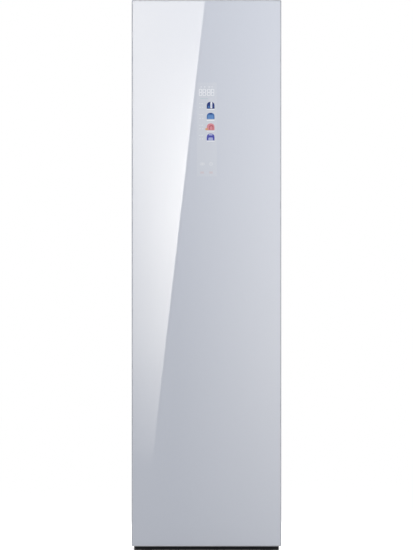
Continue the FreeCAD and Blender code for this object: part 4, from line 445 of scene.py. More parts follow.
# %% Plastic and rubber finishes
# slot: colour, roughness, grains per metre, grain depth in mm, dust, rubbed edges
MOULDED = {
    "white_liner": ((0.80, 0.81, 0.82), 0.36, 1300, 0.020, 0.06, 0.0),
    "press_grey": ((0.46, 0.48, 0.51), 0.42, 1100, 0.030, 0.06, 0.15),
    "black_plastic": ((0.016, 0.016, 0.019), 0.60, 1000, 0.040, 0.06, 0.0),
    "hood_plastic": ((0.42, 0.44, 0.48), 0.34, 1500, 0.012, 0.25, 0.10),
    "shelf_plastic": ((0.62, 0.64, 0.67), 0.38, 1200, 0.020, 0.08, 0.20),
    "crank_grey": ((0.28, 0.29, 0.31), 0.48, 900, 0.030, 0.20, 0.10),
    "bay_plastic": ((0.34, 0.36, 0.39), 0.40, 1100, 0.020, 0.10, 0.10),
    "tank_trim": ((0.20, 0.22, 0.25), 0.36, 1200, 0.018, 0.06, 0.25),
    "housing_grey": ((0.18, 0.19, 0.20), 0.55, 700, 0.050, 0.30, 0.10),
    "display_case": ((0.05, 0.05, 0.06), 0.50, 1100, 0.020, 0.05, 0.0),
    "gasket_grey": ((0.38, 0.39, 0.41), 0.62, 1600, 0.015, 0.12, 0.0),
    "feet_rubber": ((0.03, 0.03, 0.03), 0.75, 700, 0.060, 0.35, 0.0),
    "belt_rubber": ((0.04, 0.04, 0.04), 0.70, 900, 0.050, 0.20, 0.10),
    "nylon_thread": ((0.50, 0.52, 0.55), 0.55, 2400, 0.030, 0.0, 0.0),
}
MIRRORS = {"black_plastic": 0.25}
for name, (colour, gloss, grains, depth, dust, rub) in MOULDED.items():
    tree, inputs = new_finish(name, Specular_IOR_Level=MIRRORS.get(name, 0.5))
    texture = place_effect(tree, grain, Grains=grains)
    edges = place_effect(tree, rubbed, Wear=rub)["Edge"] if rub else None
    cover_surface(tree, inputs, colour, gloss, texture["Cloud"], dust=dust, edges=edges)
    bump(tree, inputs, texture["Height"], depth * MM)
print(len(MOULDED), "moulded finishes")

# %% [markdown]
# ## Painted sheet
# Powder paint flows into a faint orange peel: low soft waves a few millimetres apart under a thin gloss.
# The same grain effect with few, wide grains gives the waves, and a coat on the shader gives the gloss.

# %% Paint finishes
# slot: colour, roughness, coat, dust
PAINTED = {
    "shell_paint": ((0.49, 0.52, 0.57), 0.34, 0.35, 0.30),
    "machine_black": ((0.02, 0.02, 0.02), 0.30, 0.50, 0.45),
}
PEEL_WAVES = 260
PEEL_DEPTH = 0.022 * MM
for name, (colour, gloss, coat, dust) in PAINTED.items():
    tree, inputs = new_finish(name, Coat_Weight=coat, Coat_Roughness=0.12)
    texture = place_effect(tree, grain, Grains=PEEL_WAVES, Cloud_Size=0.3)
    edges = place_effect(tree, rubbed, Wear=0.12)["Edge"]
    cover_surface(tree, inputs, colour, gloss, texture["Cloud"], 0.04, dust, edges=edges)
    bump(tree, inputs, texture["Height"], PEEL_DEPTH)
print(len(PAINTED), "painted finishes")

# %% [markdown]
# ## Bare metal
# The door's profiles are extruded and anodised, so their lines run upright. Rods and brackets are zinc
# plated, the boiler is cast, the fins are thin rolled strip, and the pipes are drawn copper. All are one
# recipe of drawn lines on a metallic shader. A cast surface has no direction, so its noise isn't stretched.

# %% Metal finishes
# slot: colour, roughness, lines per metre, the direction in which they run, line depth in mm, dust
METAL = {
    "trim_aluminium": ((0.46, 0.475, 0.515), 0.30, 2200, "Z", 0.004, 0.02),
    "steel_hardware": ((0.55, 0.56, 0.56), 0.32, 900, "X", 0.006, 0.15),
    "boiler_steel": ((0.60, 0.61, 0.62), 0.50, 320, "", 0.080, 0.25),
    "coil_aluminium": ((0.66, 0.67, 0.68), 0.40, 420, "Z", 0.150, 0.25),
    "copper": ((0.72, 0.40, 0.25), 0.28, 1200, "Z", 0.010, 0.15),
    "bar_chrome": ((0.75, 0.75, 0.77), 0.07, 2600, "X", 0.001, 0.03),
}
STRETCH = 0.01
for name, (colour, gloss, across, direction, depth, dust) in METAL.items():
    tree, inputs = new_finish(name, Metallic=1.0)
    runs = {"Run_" + axis: STRETCH if axis == direction else 1.0 for axis in "XYZ"}
    texture = place_effect(tree, lines, Across=across, **runs)
    cover_surface(tree, inputs, colour, gloss, texture["Streak"], 0.10, dust)
    bump(tree, inputs, texture["Height"], depth * MM)
print(len(METAL), "metal finishes")

# %% [markdown]
# ## Galvanised sheet
# Hot zinc freezes into crystals a fingertip wide, each of which catches the light in its own way. Voronoi
# cells are those crystals: each cell's own random value sets its brightness and its gloss.

# %% Galvanised finish
CRYSTALS, FROST = 95.0, 900.0
DARK_ZINC, PALE_ZINC = (0.55, 0.56, 0.58, 1), (0.64, 0.65, 0.66, 1)
tree, inputs = new_finish("rear_sheet", Metallic=0.85)
crystal = add_node(tree, "TexVoronoi", {"Vector": here(tree), "Scale": CRYSTALS, "Randomness": 1.0})
own_tone = add_node(tree, "SeparateColor", {"Color": crystal.outputs["Color"]}).outputs["Red"]
zinc = mixed(tree, own_tone, DARK_ZINC, PALE_ZINC)
worn = place_effect(tree, use, Dust=0.3, Marks=0.4)
feed(tree, inputs["Base Color"], mixed(tree, worn["Dust"], zinc, DUST_COLOUR))
own_gloss = ranged(tree, own_tone, 0.0, 1.0, 0.32, 0.52)
feed(tree, inputs["Roughness"], maths(tree, "MULTIPLY_ADD", worn["Marks"], 0.1, own_gloss))
bump(tree, inputs, maths(tree, "MULTIPLY_ADD", own_tone, 0.5, noise(tree, FROST, 2.0)), 0.01 * MM)
print("zinc crystals are about", round(1000 / CRYSTALS), "mm wide")

# %% [markdown]
# ## The door's silver glass
# The door is clear glass, painted silver on its back. So there are two surfaces: a perfectly smooth front,
# which is the shader's coat, and fine metallic paint behind it, which is the base. The paint's flakes are
# too small to be told apart, but they vary its colour a little.

# %% Glass finish
FLAKES = 4200.0
DARK_FLAKE, PALE_FLAKE = (0.617, 0.656, 0.752, 1), (0.657, 0.696, 0.792, 1)
tree, inputs = new_finish("silver_glass", Metallic=0.10, Coat_Weight=1.0, Coat_Roughness=0.0, Coat_IOR=1.5)
flake = add_node(tree, "TexVoronoi", {"Vector": here(tree), "Scale": FLAKES})
shine = add_node(tree, "SeparateColor", {"Color": flake.outputs["Color"]}).outputs["Green"]
silver = mixed(tree, shine, DARK_FLAKE, PALE_FLAKE)
feed(tree, inputs["Roughness"], ranged(tree, shine, 0.0, 1.0, 0.40, 0.48))
print("the glass is painted with flakes of", round(1000 / FLAKES, 2), "mm")

# %% [markdown]
# The paint is thinner over the display, so that its light comes through. That window is a little paler, with
# a soft border. A mask for it is the product of four ranges, one across each border.

# %% Window in the paint
WINDOW_SOFT = 1.5 * MM
WINDOW_PALE = 0.13
WINDOW_TONE = (0.85, 0.87, 0.90, 1)
window_low, window_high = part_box("display_module")
place = along(tree, here(tree))
window = WINDOW_PALE
for axis in ("X", "Z"):
    low, high = getattr(window_low, axis.lower()), getattr(window_high, axis.lower())
    for start, end in ((low, low + WINDOW_SOFT), (high, high - WINDOW_SOFT)):
        window = times(tree, window, ranged(tree, place[axis], start, end))
feed(tree, inputs["Base Color"], mixed(tree, window, silver, WINDOW_TONE))
print("the window is", [round(side, 3) for side in window_high - window_low], "m")

# %% [markdown]
# ## Clear and glowing plastic
# The tanks are smoky see-through mouldings, so that the water level shows. The lamp's lens is an opal strip
# that glows, a little brighter in its middle.

# %% Tank and lens finishes
tree, inputs = new_finish("tank_clear", Transmission_Weight=0.75, IOR=1.45, Alpha=1.0)
texture = place_effect(tree, grain, Grains=500.0)
cover_surface(tree, inputs, (0.50, 0.58, 0.67), 0.16, texture["Cloud"], 0.15, dust=0.05)
bump(tree, inputs, texture["Height"], 0.01 * MM)

LENS_LIGHT = 9.0
LENS_MIDDLE, LENS_ENDS = (1.0, 0.98, 0.95, 1), (0.80, 0.82, 0.86, 1)
tree, inputs = new_finish("lens_glass", Emission_Strength=LENS_LIGHT)
texture = place_effect(tree, grain, Grains=800.0)
cover_surface(tree, inputs, (0.90, 0.92, 0.95), 0.30, texture["Cloud"], 0.05, dust=0.0)
lens_low, lens_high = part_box("lamp_lens")
from_middle = maths(tree, "ABSOLUTE", along(tree, here(tree))["X"])
to_end = ranged(tree, from_middle, 0.0, lens_high.x)
feed(tree, inputs["Emission Color"], mixed(tree, to_end, LENS_MIDDLE, LENS_ENDS))
print("the lamp is", round(lens_high.x - lens_low.x, 3), "m long")

# %% [markdown]
# ## Foam and board
# The door's core is grey poured foam, whose round cells Voronoi distances draw well. Its dark grey is partly
# the foam's own colour and partly painted shade, kept dark so that the slots where the foam shows look
# shaded. The board behind the glass is pressed fibre, a felt of short strands, for which strongly warped
# noise is enough.

# %% Foam and board finishes
CELLS, STRANDS = 700.0, 450.0
tree, inputs = new_finish("foam")
cells = add_node(tree, "TexVoronoi", {"Vector": here(tree), "Scale": CELLS}).outputs["Distance"]
# dark grey foam: partly its own colour, partly painted shade for the slots through which it shows
cover_surface(tree, inputs, (0.30, 0.30, 0.31), 0.85, ranged(tree, cells, 0.0, 0.8), 0.3, 0.1)
bump(tree, inputs, cells, 0.3 * MM)

tree, inputs = new_finish("backing_board")
felt = noise(tree, STRANDS, 4.0, Distortion=2.5)
cover_surface(tree, inputs, (0.35, 0.34, 0.33), 0.8, felt, 0.4, 0.1)
bump(tree, inputs, felt, 0.15 * MM)
print("soft and fibrous finishes are ready")

# %% [markdown]
# ## Dress the solid parts
# The record says which finish each part takes. A part's mesh isn't touched, and only gets its material.

# %% Give each part its finish
for part in frame["record"]["subparts"]:
    mesh = frame["nodes"][part["node"]].data
    mesh.materials.clear()
    mesh.materials.append(finishes[part["material_slot"]])

# %% [markdown]
# ## New pieces
# What follows isn't in the solid parts. Every piece is a bmesh that becomes an object at the origin, moves
# with one of the cabinet's bodies and takes its materials from the finishes above. Faces that meet at a
# shallow angle are shaded as one.

# %% Helper for new pieces
SHARP = math.radians(35)
SAME_SPOT = 0.001 * MM


def new_piece(name, mesh, coats, body, replaced=(), turn_out=True):
    """Makes an object of a bmesh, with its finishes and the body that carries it."""
    bmesh.ops.remove_doubles(mesh, verts=mesh.verts, dist=SAME_SPOT)
    if turn_out:
        bmesh.ops.recalc_face_normals(mesh, faces=mesh.faces)
    piece = make_object(name, mesh, *(finishes[coat] for coat in coats))
    piece.data.shade_smooth()
    piece.data.set_sharp_from_angle(angle=SHARP)
    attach(piece, body)
    if replaced:
        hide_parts(*replaced)
    print(name, "has", len(piece.data.polygons), "faces")
    return piece


def new_verts(made):
    """The corners among what an operator made."""
    return [item for item in made["geom"] if isinstance(item, bmesh.types.BMVert)]


def plate(mesh, across, up, width, height, rounding=0.0, coat=0, only_top=False, steps=4):
    """Draws a flat rectangle, in millimetres, with all its corners or the upper two rounded in steps."""
    corners = bmesh.ops.create_grid(mesh, x_segments=1, y_segments=1, size=0.5 * MM)["verts"]
    corners[0].link_faces[0].material_index = coat
    bmesh.ops.scale(mesh, verts=corners, vec=(width, height, 1))
    rounded = [corner for corner in corners if corner.co.y > 0] if only_top else corners
    bmesh.ops.translate(mesh, verts=corners, vec=(across * MM, up * MM, 0))
    if rounding:
        bmesh.ops.bevel(mesh, geom=rounded, offset=rounding * MM, offset_type="OFFSET", segments=steps,
                        profile=0.5, affect="VERTICES", material=-1)


def ring(mesh, across, up, width, height, rounding, line, coat=0):
    """Draws an outline: a rounded plate whose middle is inset by the line's width and taken out."""
    older = set(mesh.faces)
    plate(mesh, across, up, width, height, rounding, coat)
    middle = [face for face in mesh.faces if face not in older]
    bmesh.ops.inset_region(mesh, faces=middle, thickness=line * MM, use_boundary=True, use_even_offset=True)
    bmesh.ops.delete(mesh, geom=middle, context="FACES_ONLY")


def stand_up(mesh, surface, outward=-1, across=0, up=0):
    """Turns a lying drawing upright against a surface that faces the front (-1) or the back (1)."""
    turn(mesh, 90)
    bmesh.ops.scale(mesh, verts=mesh.verts, vec=(1, -outward, 1))
    shift(mesh, across, surface, up)


def thicken(mesh, thick):
    """Gives a lying drawing its thickness."""
    raised = bmesh.ops.extrude_face_region(mesh, geom=mesh.faces[:])
    bmesh.ops.translate(mesh, verts=new_verts(raised), vec=(0, 0, thick))


def grow(mesh, hoop, wider, taller, rise):
    """Extrudes a closed hoop of edges, stretches and lifts the copy, and returns it as the next hoop."""
    grown = bmesh.ops.extrude_edge_only(mesh, edges=hoop)
    bmesh.ops.scale(mesh, verts=new_verts(grown), vec=(wider, taller, 1))
    bmesh.ops.translate(mesh, verts=new_verts(grown), vec=(0, 0, rise))
    return [item for item in grown["geom"] if isinstance(item, bmesh.types.BMEdge) and item.is_boundary]


def pour(mesh, whole):
    """Adds a bmesh to a larger one."""
    loose = bpy.data.meshes.new("loose")
    mesh.to_mesh(loose)
    mesh.free()
    whole.from_mesh(loose)
    bpy.data.meshes.remove(loose)


# %% [markdown]
# ## Round parts
# A solid part comes as loose triangles, each shaded flat, which shows on the tanks' round corners. A copy
# whose triangles are merged can be shaded smooth. The Weighted Normal modifier lets the big flat faces decide
# the shading at their borders, so that only the curves turn.

# %% Smooth the round parts
ROUND_PARTS = (
    "supply_tank", "drain_tank", "supply_tank_handle", "drain_tank_handle", "supply_tank_lid",
    "drain_tank_lid", "press_cover", "levelling_feet", "lint_filter", "hanger_carriage")
slots = {part["node"]: part["material_slot"] for part in frame["record"]["subparts"]}
for node in ROUND_PARTS:
    body = "cabinet" if node == "levelling_feet" else node
    smooth = bmesh.new()
    smooth.from_mesh(frame["nodes"][node].data)
    piece = new_piece(node + "_smooth", smooth, (slots[node],), body, (node,), turn_out=False)
    weighted = piece.modifiers.new("weighted", "WEIGHTED_NORMAL")
    weighted.keep_sharp = True
print(len(ROUND_PARTS), "round parts are smooth")

# %% [markdown]
# ## The turned hanger bar
# The polished bar mirrors the lamp as one long line, which only an evenly round surface keeps straight. So it
# is turned anew, as on a lathe: a profile from the middle of one end to the middle of the other is spun once
# round the bar's axis. It runs up a rounded end and dips at each hook seat.

# %% Turn the hanger bar
BAR_RADIUS, BAR_ROUND, SEAT_HALF, SEAT_DEEP, SEAT_PITCH = 11 * MM, 4 * MM, 2.5 * MM, 2.5 * MM, 40 * MM
SEATS = (-2, -1, 0, 1, 2)
TURNS, ROUNDING_STEPS = 64, 6
bar_low, bar_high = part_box("hanger_bar")
bar_half = (bar_high.x - bar_low.x) / 2
quarter = [math.radians(90 * step / ROUNDING_STEPS) for step in range(ROUNDING_STEPS + 1)]
left_end = [(-bar_half, 0)] + [
    (-bar_half + BAR_ROUND * (1 - math.sin(angle)), BAR_RADIUS - BAR_ROUND * (1 - math.cos(angle)))
    for angle in reversed(quarter)]
seats = [(seat * SEAT_PITCH + side * SEAT_HALF, BAR_RADIUS - SEAT_DEEP * (side == 0))
         for seat in SEATS for side in (-1, 0, 1)]
profile = left_end + seats + [(-across, out) for across, out in reversed(left_end)]
bar = bmesh.new()
line = [bar.verts.new((across, 0, out)) for across, out in profile]
for first, second in zip(line, line[1:]):
    bar.edges.new((first, second))
bmesh.ops.spin(bar, geom=bar.verts[:] + bar.edges[:], cent=(0, 0, 0), axis=(1, 0, 0), angle=math.tau,
               steps=TURNS, use_merge=True)
shift(bar, *(bar_low + bar_high) / 2)
new_piece("turned_hanger_bar", bar, ("bar_chrome",), "hanger_carriage", ("hanger_bar",))

# %% [markdown]
# ## The display's inks
# The display's marks are prints and lights right behind the glass, so they share some of its gloss. Each ink
# is one colour, a little mottled. The white marks are lit from behind and glow.

# %% Ink finishes
INKS = {
    "white_ink": (0.86, 0.88, 0.92),
    "pale_ink": (0.74, 0.76, 0.81),
    "teal_ink": (0.46, 0.62, 0.66),
    "rose_ink": (0.70, 0.58, 0.62),
    "navy_ink": (0.004, 0.030, 0.20),
    "blue_ink": (0.05, 0.17, 0.47),
    "sky_ink": (0.12, 0.29, 0.64),
    "red_ink": (0.56, 0.13, 0.17),
    "pink_ink": (0.78, 0.30, 0.35),
    "orange_ink": (0.80, 0.42, 0.20),
    "indigo_ink": (0.07, 0.08, 0.46),
    "lilac_ink": (0.45, 0.50, 0.80),
}
INK_GRAINS = 1500
INK_COAT = 0.4
INK_GLOW = {"white_ink": 0.15, "pale_ink": 0.10}
for name, colour in INKS.items():
    tree, inputs = new_finish(name, Coat_Weight=INK_COAT, Coat_Roughness=0.0, Specular_IOR_Level=0.2,
                              Emission_Color=(0.95, 0.97, 1.0, 1), Emission_Strength=INK_GLOW.get(name, 0.0))
    texture = place_effect(tree, grain, Grains=INK_GRAINS, Cloud_Size=0.01)
    cover_surface(tree, inputs, colour, 0.45, texture["Height"], 0.10, dust=0.0, marks=0.0)
print(len(INKS), "inks")

# %% [markdown]
# ## The clock
# Each digit is seven bars round two square holes, and the bars end in points so that they fit at the
# corners. A point is a corner bevel as wide as half the bar. All bars are lit. Above the digits are four
# small outlined state marks, and a thin teal line closes the group.

# %% Helper for digit bars
INK_THICK = 0.12 * MM
INK_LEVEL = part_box("door_glass")[0].y - 0.02 * MM
DIGIT_WIDE, DIGIT_HIGH, BAR = 10.2, 23.2, 1.65
BAR_GAP = 0.25
POINT = 0.49 * BAR


def digit(mesh, across, up):
    """A seven-bar eight about a middle, in millimetres."""
    side, storey = (DIGIT_WIDE - BAR) / 2, (DIGIT_HIGH - BAR) / 2
    for level in (-storey, 0, storey):
        plate(mesh, across, up + level, 2 * side - BAR_GAP, BAR, POINT, steps=1)
    for reach in (-side, side):
        for middle in (-storey / 2, storey / 2):
            plate(mesh, across + reach, up + middle, BAR, storey - BAR_GAP, POINT, steps=1)


# %% Make the clock
CLOCK_LEVEL = 1531.2
DIGIT_PLACES = (-20.0, -7.5, 7.7, 20.2)
MARK_LEVEL = 1549.6
MARK_HIGH, MARK_ROUND, MARK_LINE = 3.4, 1.2, 0.7
STATE_MARKS = ((-17.6, 3.6), (-5.9, 3.6), (9.2, 6.0), (18.5, 3.6))
COLON_ROUND = 0.6
TEAL_LINE = (-8.2, 1510.5, 26.8, 1.0)

clock = bmesh.new()
for across in DIGIT_PLACES:
    digit(clock, across, CLOCK_LEVEL)
for up in (-DIGIT_HIGH / 4, DIGIT_HIGH / 4):
    plate(clock, sum(DIGIT_PLACES[1:3]) / 2, CLOCK_LEVEL + up, BAR, BAR, COLON_ROUND)
for across, wide in STATE_MARKS:
    ring(clock, across, MARK_LEVEL, wide, MARK_HIGH, MARK_ROUND, MARK_LINE)
plate(clock, *TEAL_LINE, coat=1)
thicken(clock, INK_THICK)
stand_up(clock, INK_LEVEL)
new_piece("display_clock", clock, ("white_ink", "teal_ink"), "door")

# %% [markdown]
# ## The programme tiles
# Four small pictures stand for four kinds of clothes. Each is a plain garment shape of a few flat plates:
# a body with round shoulders, and smaller plates on top of it for a shirt front, a collar or a hem. A plate
# that lies on another is thicker, so that it wins. Two rows of dashes beside each stand for its label.

# %% Make the tiles
TILE_X = 13.85
TILE_WIDE, TILE_HIGH = 26.0, 23.0
TILE_SHADOW = 14.2
PLATE_STEP = 0.03 * MM
# garment: its level, and its plates from the lowest up, each with its offset, size, rounding and ink
BODY = (0, 0, TILE_WIDE, TILE_HIGH, 11.5, True)
GARMENTS = {
    "suit": (1488.4, (
        (*BODY, "navy_ink"), (-6.0, -6.0, 7.0, 8.0, 1.2, False, "blue_ink"),
        (2.2, 0.6, 6.0, 21.5, 2.8, True, "white_ink"), (2.2, -2.0, 1.4, 13.0, 0.6, True, "lilac_ink"))),
    "shirt": (1451.4, (
        (0, 1.3, TILE_WIDE, 20.8, 10.5, True, "blue_ink"), (0, -2.2, 20.0, 12.6, 5.0, True, "sky_ink"),
        (0, 9.2, 9.0, 3.6, 1.7, False, "navy_ink"))),
    "dress": (1416.3, (
        (*BODY, "pink_ink"), (2.0, -2.0, 14.0, 15.0, 5.0, True, "red_ink"),
        (2.0, -3.5, 9.0, 11.0, 4.0, True, "pink_ink"), (-13.5, -7.5, 9.0, 6.0, 1.6, False, "orange_ink"))),
    "jumper": (1382.5, (
        (*BODY, "indigo_ink"), (0, 7.5, 13.0, 4.6, 2.0, False, "lilac_ink"),
        (0, -6.5, 15.0, 9.6, 3.0, True, "lilac_ink"))),
}
for garment, (level, layers) in GARMENTS.items():
    picture = bmesh.new()
    for depth, (across, rise, wide, high, rounding, only_top, _) in enumerate(layers):
        layer = bmesh.new()
        plate(layer, TILE_X + across, level + rise, wide, high, rounding, depth, only_top)
        thicken(layer, INK_THICK + depth * PLATE_STEP)
        stand_up(layer, INK_LEVEL)
        pour(layer, picture)
    inks = [ink for *_, ink in layers]
    new_piece("programme_tile_" + garment, picture, inks, "door")

# %% Make the labels and touch marks
LINE_BELOW = (TILE_WIDE, 1.7, 0.8)
LABEL_ROWS = ((5.5, (-22.5, 4.0), (-14.5, 5.0)), (-6.5, (-21.5, 5.0), (-12.5, 4.0)))
DASH_HIGH, DASH_ROUND = 1.1, 0.5
# place across and up, width, height and rounding of two outlined touch marks and what is inside them
TOUCH_RINGS = ((-14.1, 1292.6, 15.2, 8.4, 3.8), (15.1, 1292.4, 11.4, 10.4, 4.8))
TOUCH_SIGNS = ((-14.1, 1292.6, 8.0, 2.4, 1.1), (15.1, 1292.4, 1.4, 4.0, 0.6))
TOUCH_LINE = 1.1
CAPTIONS = ((-14.5, 13.0), (14.8, 12.0))
CAPTION_LEVELS = (1262.0, 1265.4)
CAPTION_HIGH, CAPTION_ROUND = 1.7, 0.7

labels = bmesh.new()
for level, _ in GARMENTS.values():
    plate(labels, TILE_X, level - TILE_SHADOW, *LINE_BELOW)
    for up, *dashes in LABEL_ROWS:
        for across, wide in dashes:
            plate(labels, across, level + up, wide, DASH_HIGH, DASH_ROUND)
for outline, sign in zip(TOUCH_RINGS, TOUCH_SIGNS):
    ring(labels, *outline, TOUCH_LINE, coat=2)
    plate(labels, *sign, coat=2)
for across, wide in CAPTIONS:
    for up in CAPTION_LEVELS:
        plate(labels, across, up, wide, CAPTION_HIGH, CAPTION_ROUND, coat=1)
thicken(labels, INK_THICK)
stand_up(labels, INK_LEVEL)
new_piece("display_labels", labels, ("white_ink", "rose_ink", "pale_ink"), "door")

# %% [markdown]
# ## The door seal
# The seal is one extruded rubber profile, cut at 45 degrees and welded at the corners: a flat foot in the
# liner and a soft bellows that a magnet pulls shut. A bare rectangle is the profile's first point all round
# the door. It is extruded on the spot, and each new rectangle is scaled and lifted to the next point.

# %% Make the door seal
# inset from the foot's outer edge, and how far from the door towards the cabinet, in millimetres
SEAL_PROFILE = (
    (0, 0), (0, 4.8), (1.2, 6.0), (4.4, 6.0), (3.6, 7.0), (4.6, 8.0), (3.8, 8.9), (5.4, 9.9), (8.0, 10.0),
    (12.0, 10.0), (14.6, 9.9), (16.2, 8.9), (15.4, 8.0), (16.4, 7.0), (15.6, 6.0), (18.8, 6.0), (20, 4.8),
    (20, 0), (0, 0))
seal_low, seal_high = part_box("door_gasket")
wide, tall = (seal_high.x - seal_low.x) / MM, (seal_high.z - seal_low.z) / MM
middle = (seal_low + seal_high) / 2
seal = bmesh.new()
plate(seal, 0, 0, wide, tall)
bmesh.ops.delete(seal, geom=seal.faces[:], context="FACES_ONLY")
hoop = seal.edges[:]
for (inset, depth), (next_inset, next_depth) in zip(SEAL_PROFILE, SEAL_PROFILE[1:]):
    hoop = grow(seal, hoop, (wide - 2 * next_inset) / (wide - 2 * inset),
                (tall - 2 * next_inset) / (tall - 2 * inset), (next_depth - depth) * MM)
stand_up(seal, seal_low.y, 1, middle.x, middle.z)
new_piece("door_seal", seal, ("gasket_grey",), "door", ("door_gasket",))

# %% [markdown]
# ## Screw heads
# The sheets are held by pan-head screws with a cross recess. A head is a disc with a cross shaped hole,
# filled with triangles between the two outlines, with a rounded rim behind it and the cross pushed in. The
# screws go where the plain ones are, which are the separate islands of that part's mesh.

# %% Find the screws
def islands(node):
    """The lowest and highest corners of each separate solid in a part, in no fixed order."""
    copy = bmesh.new()
    copy.from_mesh(frame["nodes"][node].data)
    bmesh.ops.remove_doubles(copy, verts=copy.verts, dist=SAME_SPOT)
    left, found = set(copy.verts), []
    while left:
        waiting, spots = [left.pop()], []
        while waiting:
            vert = waiting.pop()
            spots.append(vert.co.copy())
            near = {line.other_vert(vert) for line in vert.link_edges} & left
            left -= near
            waiting += near
        found.append([Vector(pick(spot[axis] for spot in spots) for axis in range(3)) for pick in (min, max)])
    copy.free()
    return found


screws = islands("panel_screws")
print("there are", len(screws), "screws")

# %% Make the screw heads
CROSS_LONG, CROSS_HALF, CROSS_DEEP = 2.3 * MM, 0.75 * MM, 1.1 * MM
HEAD_HIGH, HEAD_ROUND, HEAD_SOFT, SHANK = 1.9 * MM, 0.5 * MM, 0.15 * MM, 2.0 * MM
HEAD_SIDES = 24


def cross_face(mesh):
    """A flat cross of a square and four arms, for the recess. Returns its faces and its outline."""
    bmesh.ops.create_grid(mesh, x_segments=1, y_segments=1, size=CROSS_HALF)
    for side in list(mesh.edges):
        outward = sum((end.co for end in side.verts), Vector()).normalized()
        arm = bmesh.ops.extrude_edge_only(mesh, edges=[side])
        bmesh.ops.translate(mesh, verts=new_verts(arm), vec=outward * (CROSS_LONG - CROSS_HALF))
    return list(mesh.faces), [line for line in mesh.edges if line.is_boundary]


def screw(radius, length):
    """One screw along Z, with the top of its head at level 0."""
    mesh = bmesh.new()
    recess, outline = cross_face(mesh)
    rim = bmesh.ops.create_circle(mesh, segments=HEAD_SIDES, radius=radius - HEAD_ROUND)["verts"]
    hoop = list({line for corner in rim for line in corner.link_edges})
    bmesh.ops.triangle_fill(mesh, use_beauty=True, edges=hoop + outline)
    sunk = bmesh.ops.extrude_face_region(mesh, geom=recess)
    bmesh.ops.translate(mesh, verts=new_verts(sunk), vec=(0, 0, -CROSS_DEEP))
    bmesh.ops.delete(mesh, geom=recess, context="FACES")
    wide, level = radius - HEAD_ROUND, 0
    for reach, depth in ((radius - HEAD_SOFT, -HEAD_SOFT), (radius, -HEAD_ROUND), (radius, -HEAD_HIGH),
                         (SHANK, -HEAD_HIGH), (SHANK, -length)):
        hoop = grow(mesh, hoop, reach / wide, reach / wide, depth - level)
        wide, level = reach, depth
    bmesh.ops.contextual_create(mesh, geom=hoop)
    return mesh


# %% Drive the screws home
TURN_EACH = 37
all_screws = bmesh.new()
for number, (low, high) in enumerate(screws):
    one = screw((high.x - low.x) / 2, high.y - low.y)
    turn(one, number * TURN_EACH, "Z")
    turn(one, -90)
    middle = (low + high) / 2
    shift(one, middle.x, high.y, middle.z)
    pour(one, all_screws)
new_piece("cross_head_screws", all_screws, ("steel_hardware",), "cabinet",
          ("panel_screws",))

# %% [markdown]
# ## Cloth for the trouser press
# The press holds trousers between two felt-lined boards. The cloth is a plain weave: two sets of threads
# that cross, each drawn as a wave along one direction, and the higher thread at any spot is the one on top.
# A loose fuzz breaks the pattern, and a little sheen stands for the fibres that stick out.

# %% Cloth finish
# threads per metre; a Wave node of scale 1 has 20 waves in every 6.28 m
THREADS, FUZZ = 800.0, 260.0
tree, inputs = new_finish("press_cloth", Sheen_Weight=0.35, Sheen_Roughness=0.5)
wave = {"Vector": here(tree), "Scale": THREADS * math.tau / 20, "Distortion": 0.6, "Detail Scale": 3.0,
        "Detail": 1.0}
threads = [add_node(tree, "TexWave", wave, bands_direction=axis).outputs["Fac"] for axis in "XZ"]
weave = maths(tree, "MAXIMUM", *threads)
fuzz = noise(tree, FUZZ, 5.0, Roughness=0.7)
cover_surface(tree, inputs, (0.27, 0.285, 0.31), 0.82, fuzz, 0.35, dust=0.03, marks=0.0)
bump(tree, inputs, maths(tree, "MULTIPLY_ADD", fuzz, 0.6, weave), 0.12 * MM)
print("the cloth has", round(THREADS / 100), "threads per centimetre")

# %% [markdown]
# ## Pads of the trouser press
# Both pads are thin quilted felt, sewn down in rows, so each field between two seams swells a little. A flat
# plate is cut where the height has to change, copied up by an extrusion, and every corner of the copy rises
# with its distance from the nearest seam. A row of short nylon stitches lies in every seam.

# %% Helper for pads
PAD_THICK = 1.9 * MM
SEAM_THICK = 0.48 * MM
SEAM_EVERY = 64.0 * MM
SWELL_REACH = 6 * MM
SWELL_STEPS = (1.5 * MM, 5 * MM, 12 * MM, 22 * MM)
PAD_ROUND = 9.0
STITCH_LONG, STITCH_WIDE, STITCH_CUT, STITCH_PITCH, STITCH_INSET = 3.2, 0.6, 0.2, 4.6, 8.0
STITCH_THICK = 0.3 * MM


def cut_across(mesh, axis, level):
    """Cuts a flat mesh along one line."""
    normal = Vector((axis == "x", axis == "y", 0))
    bmesh.ops.bisect_plane(mesh, geom=mesh.verts[:] + mesh.edges[:] + mesh.faces[:], dist=0.01 * MM,
                           plane_co=normal * level, plane_no=normal)


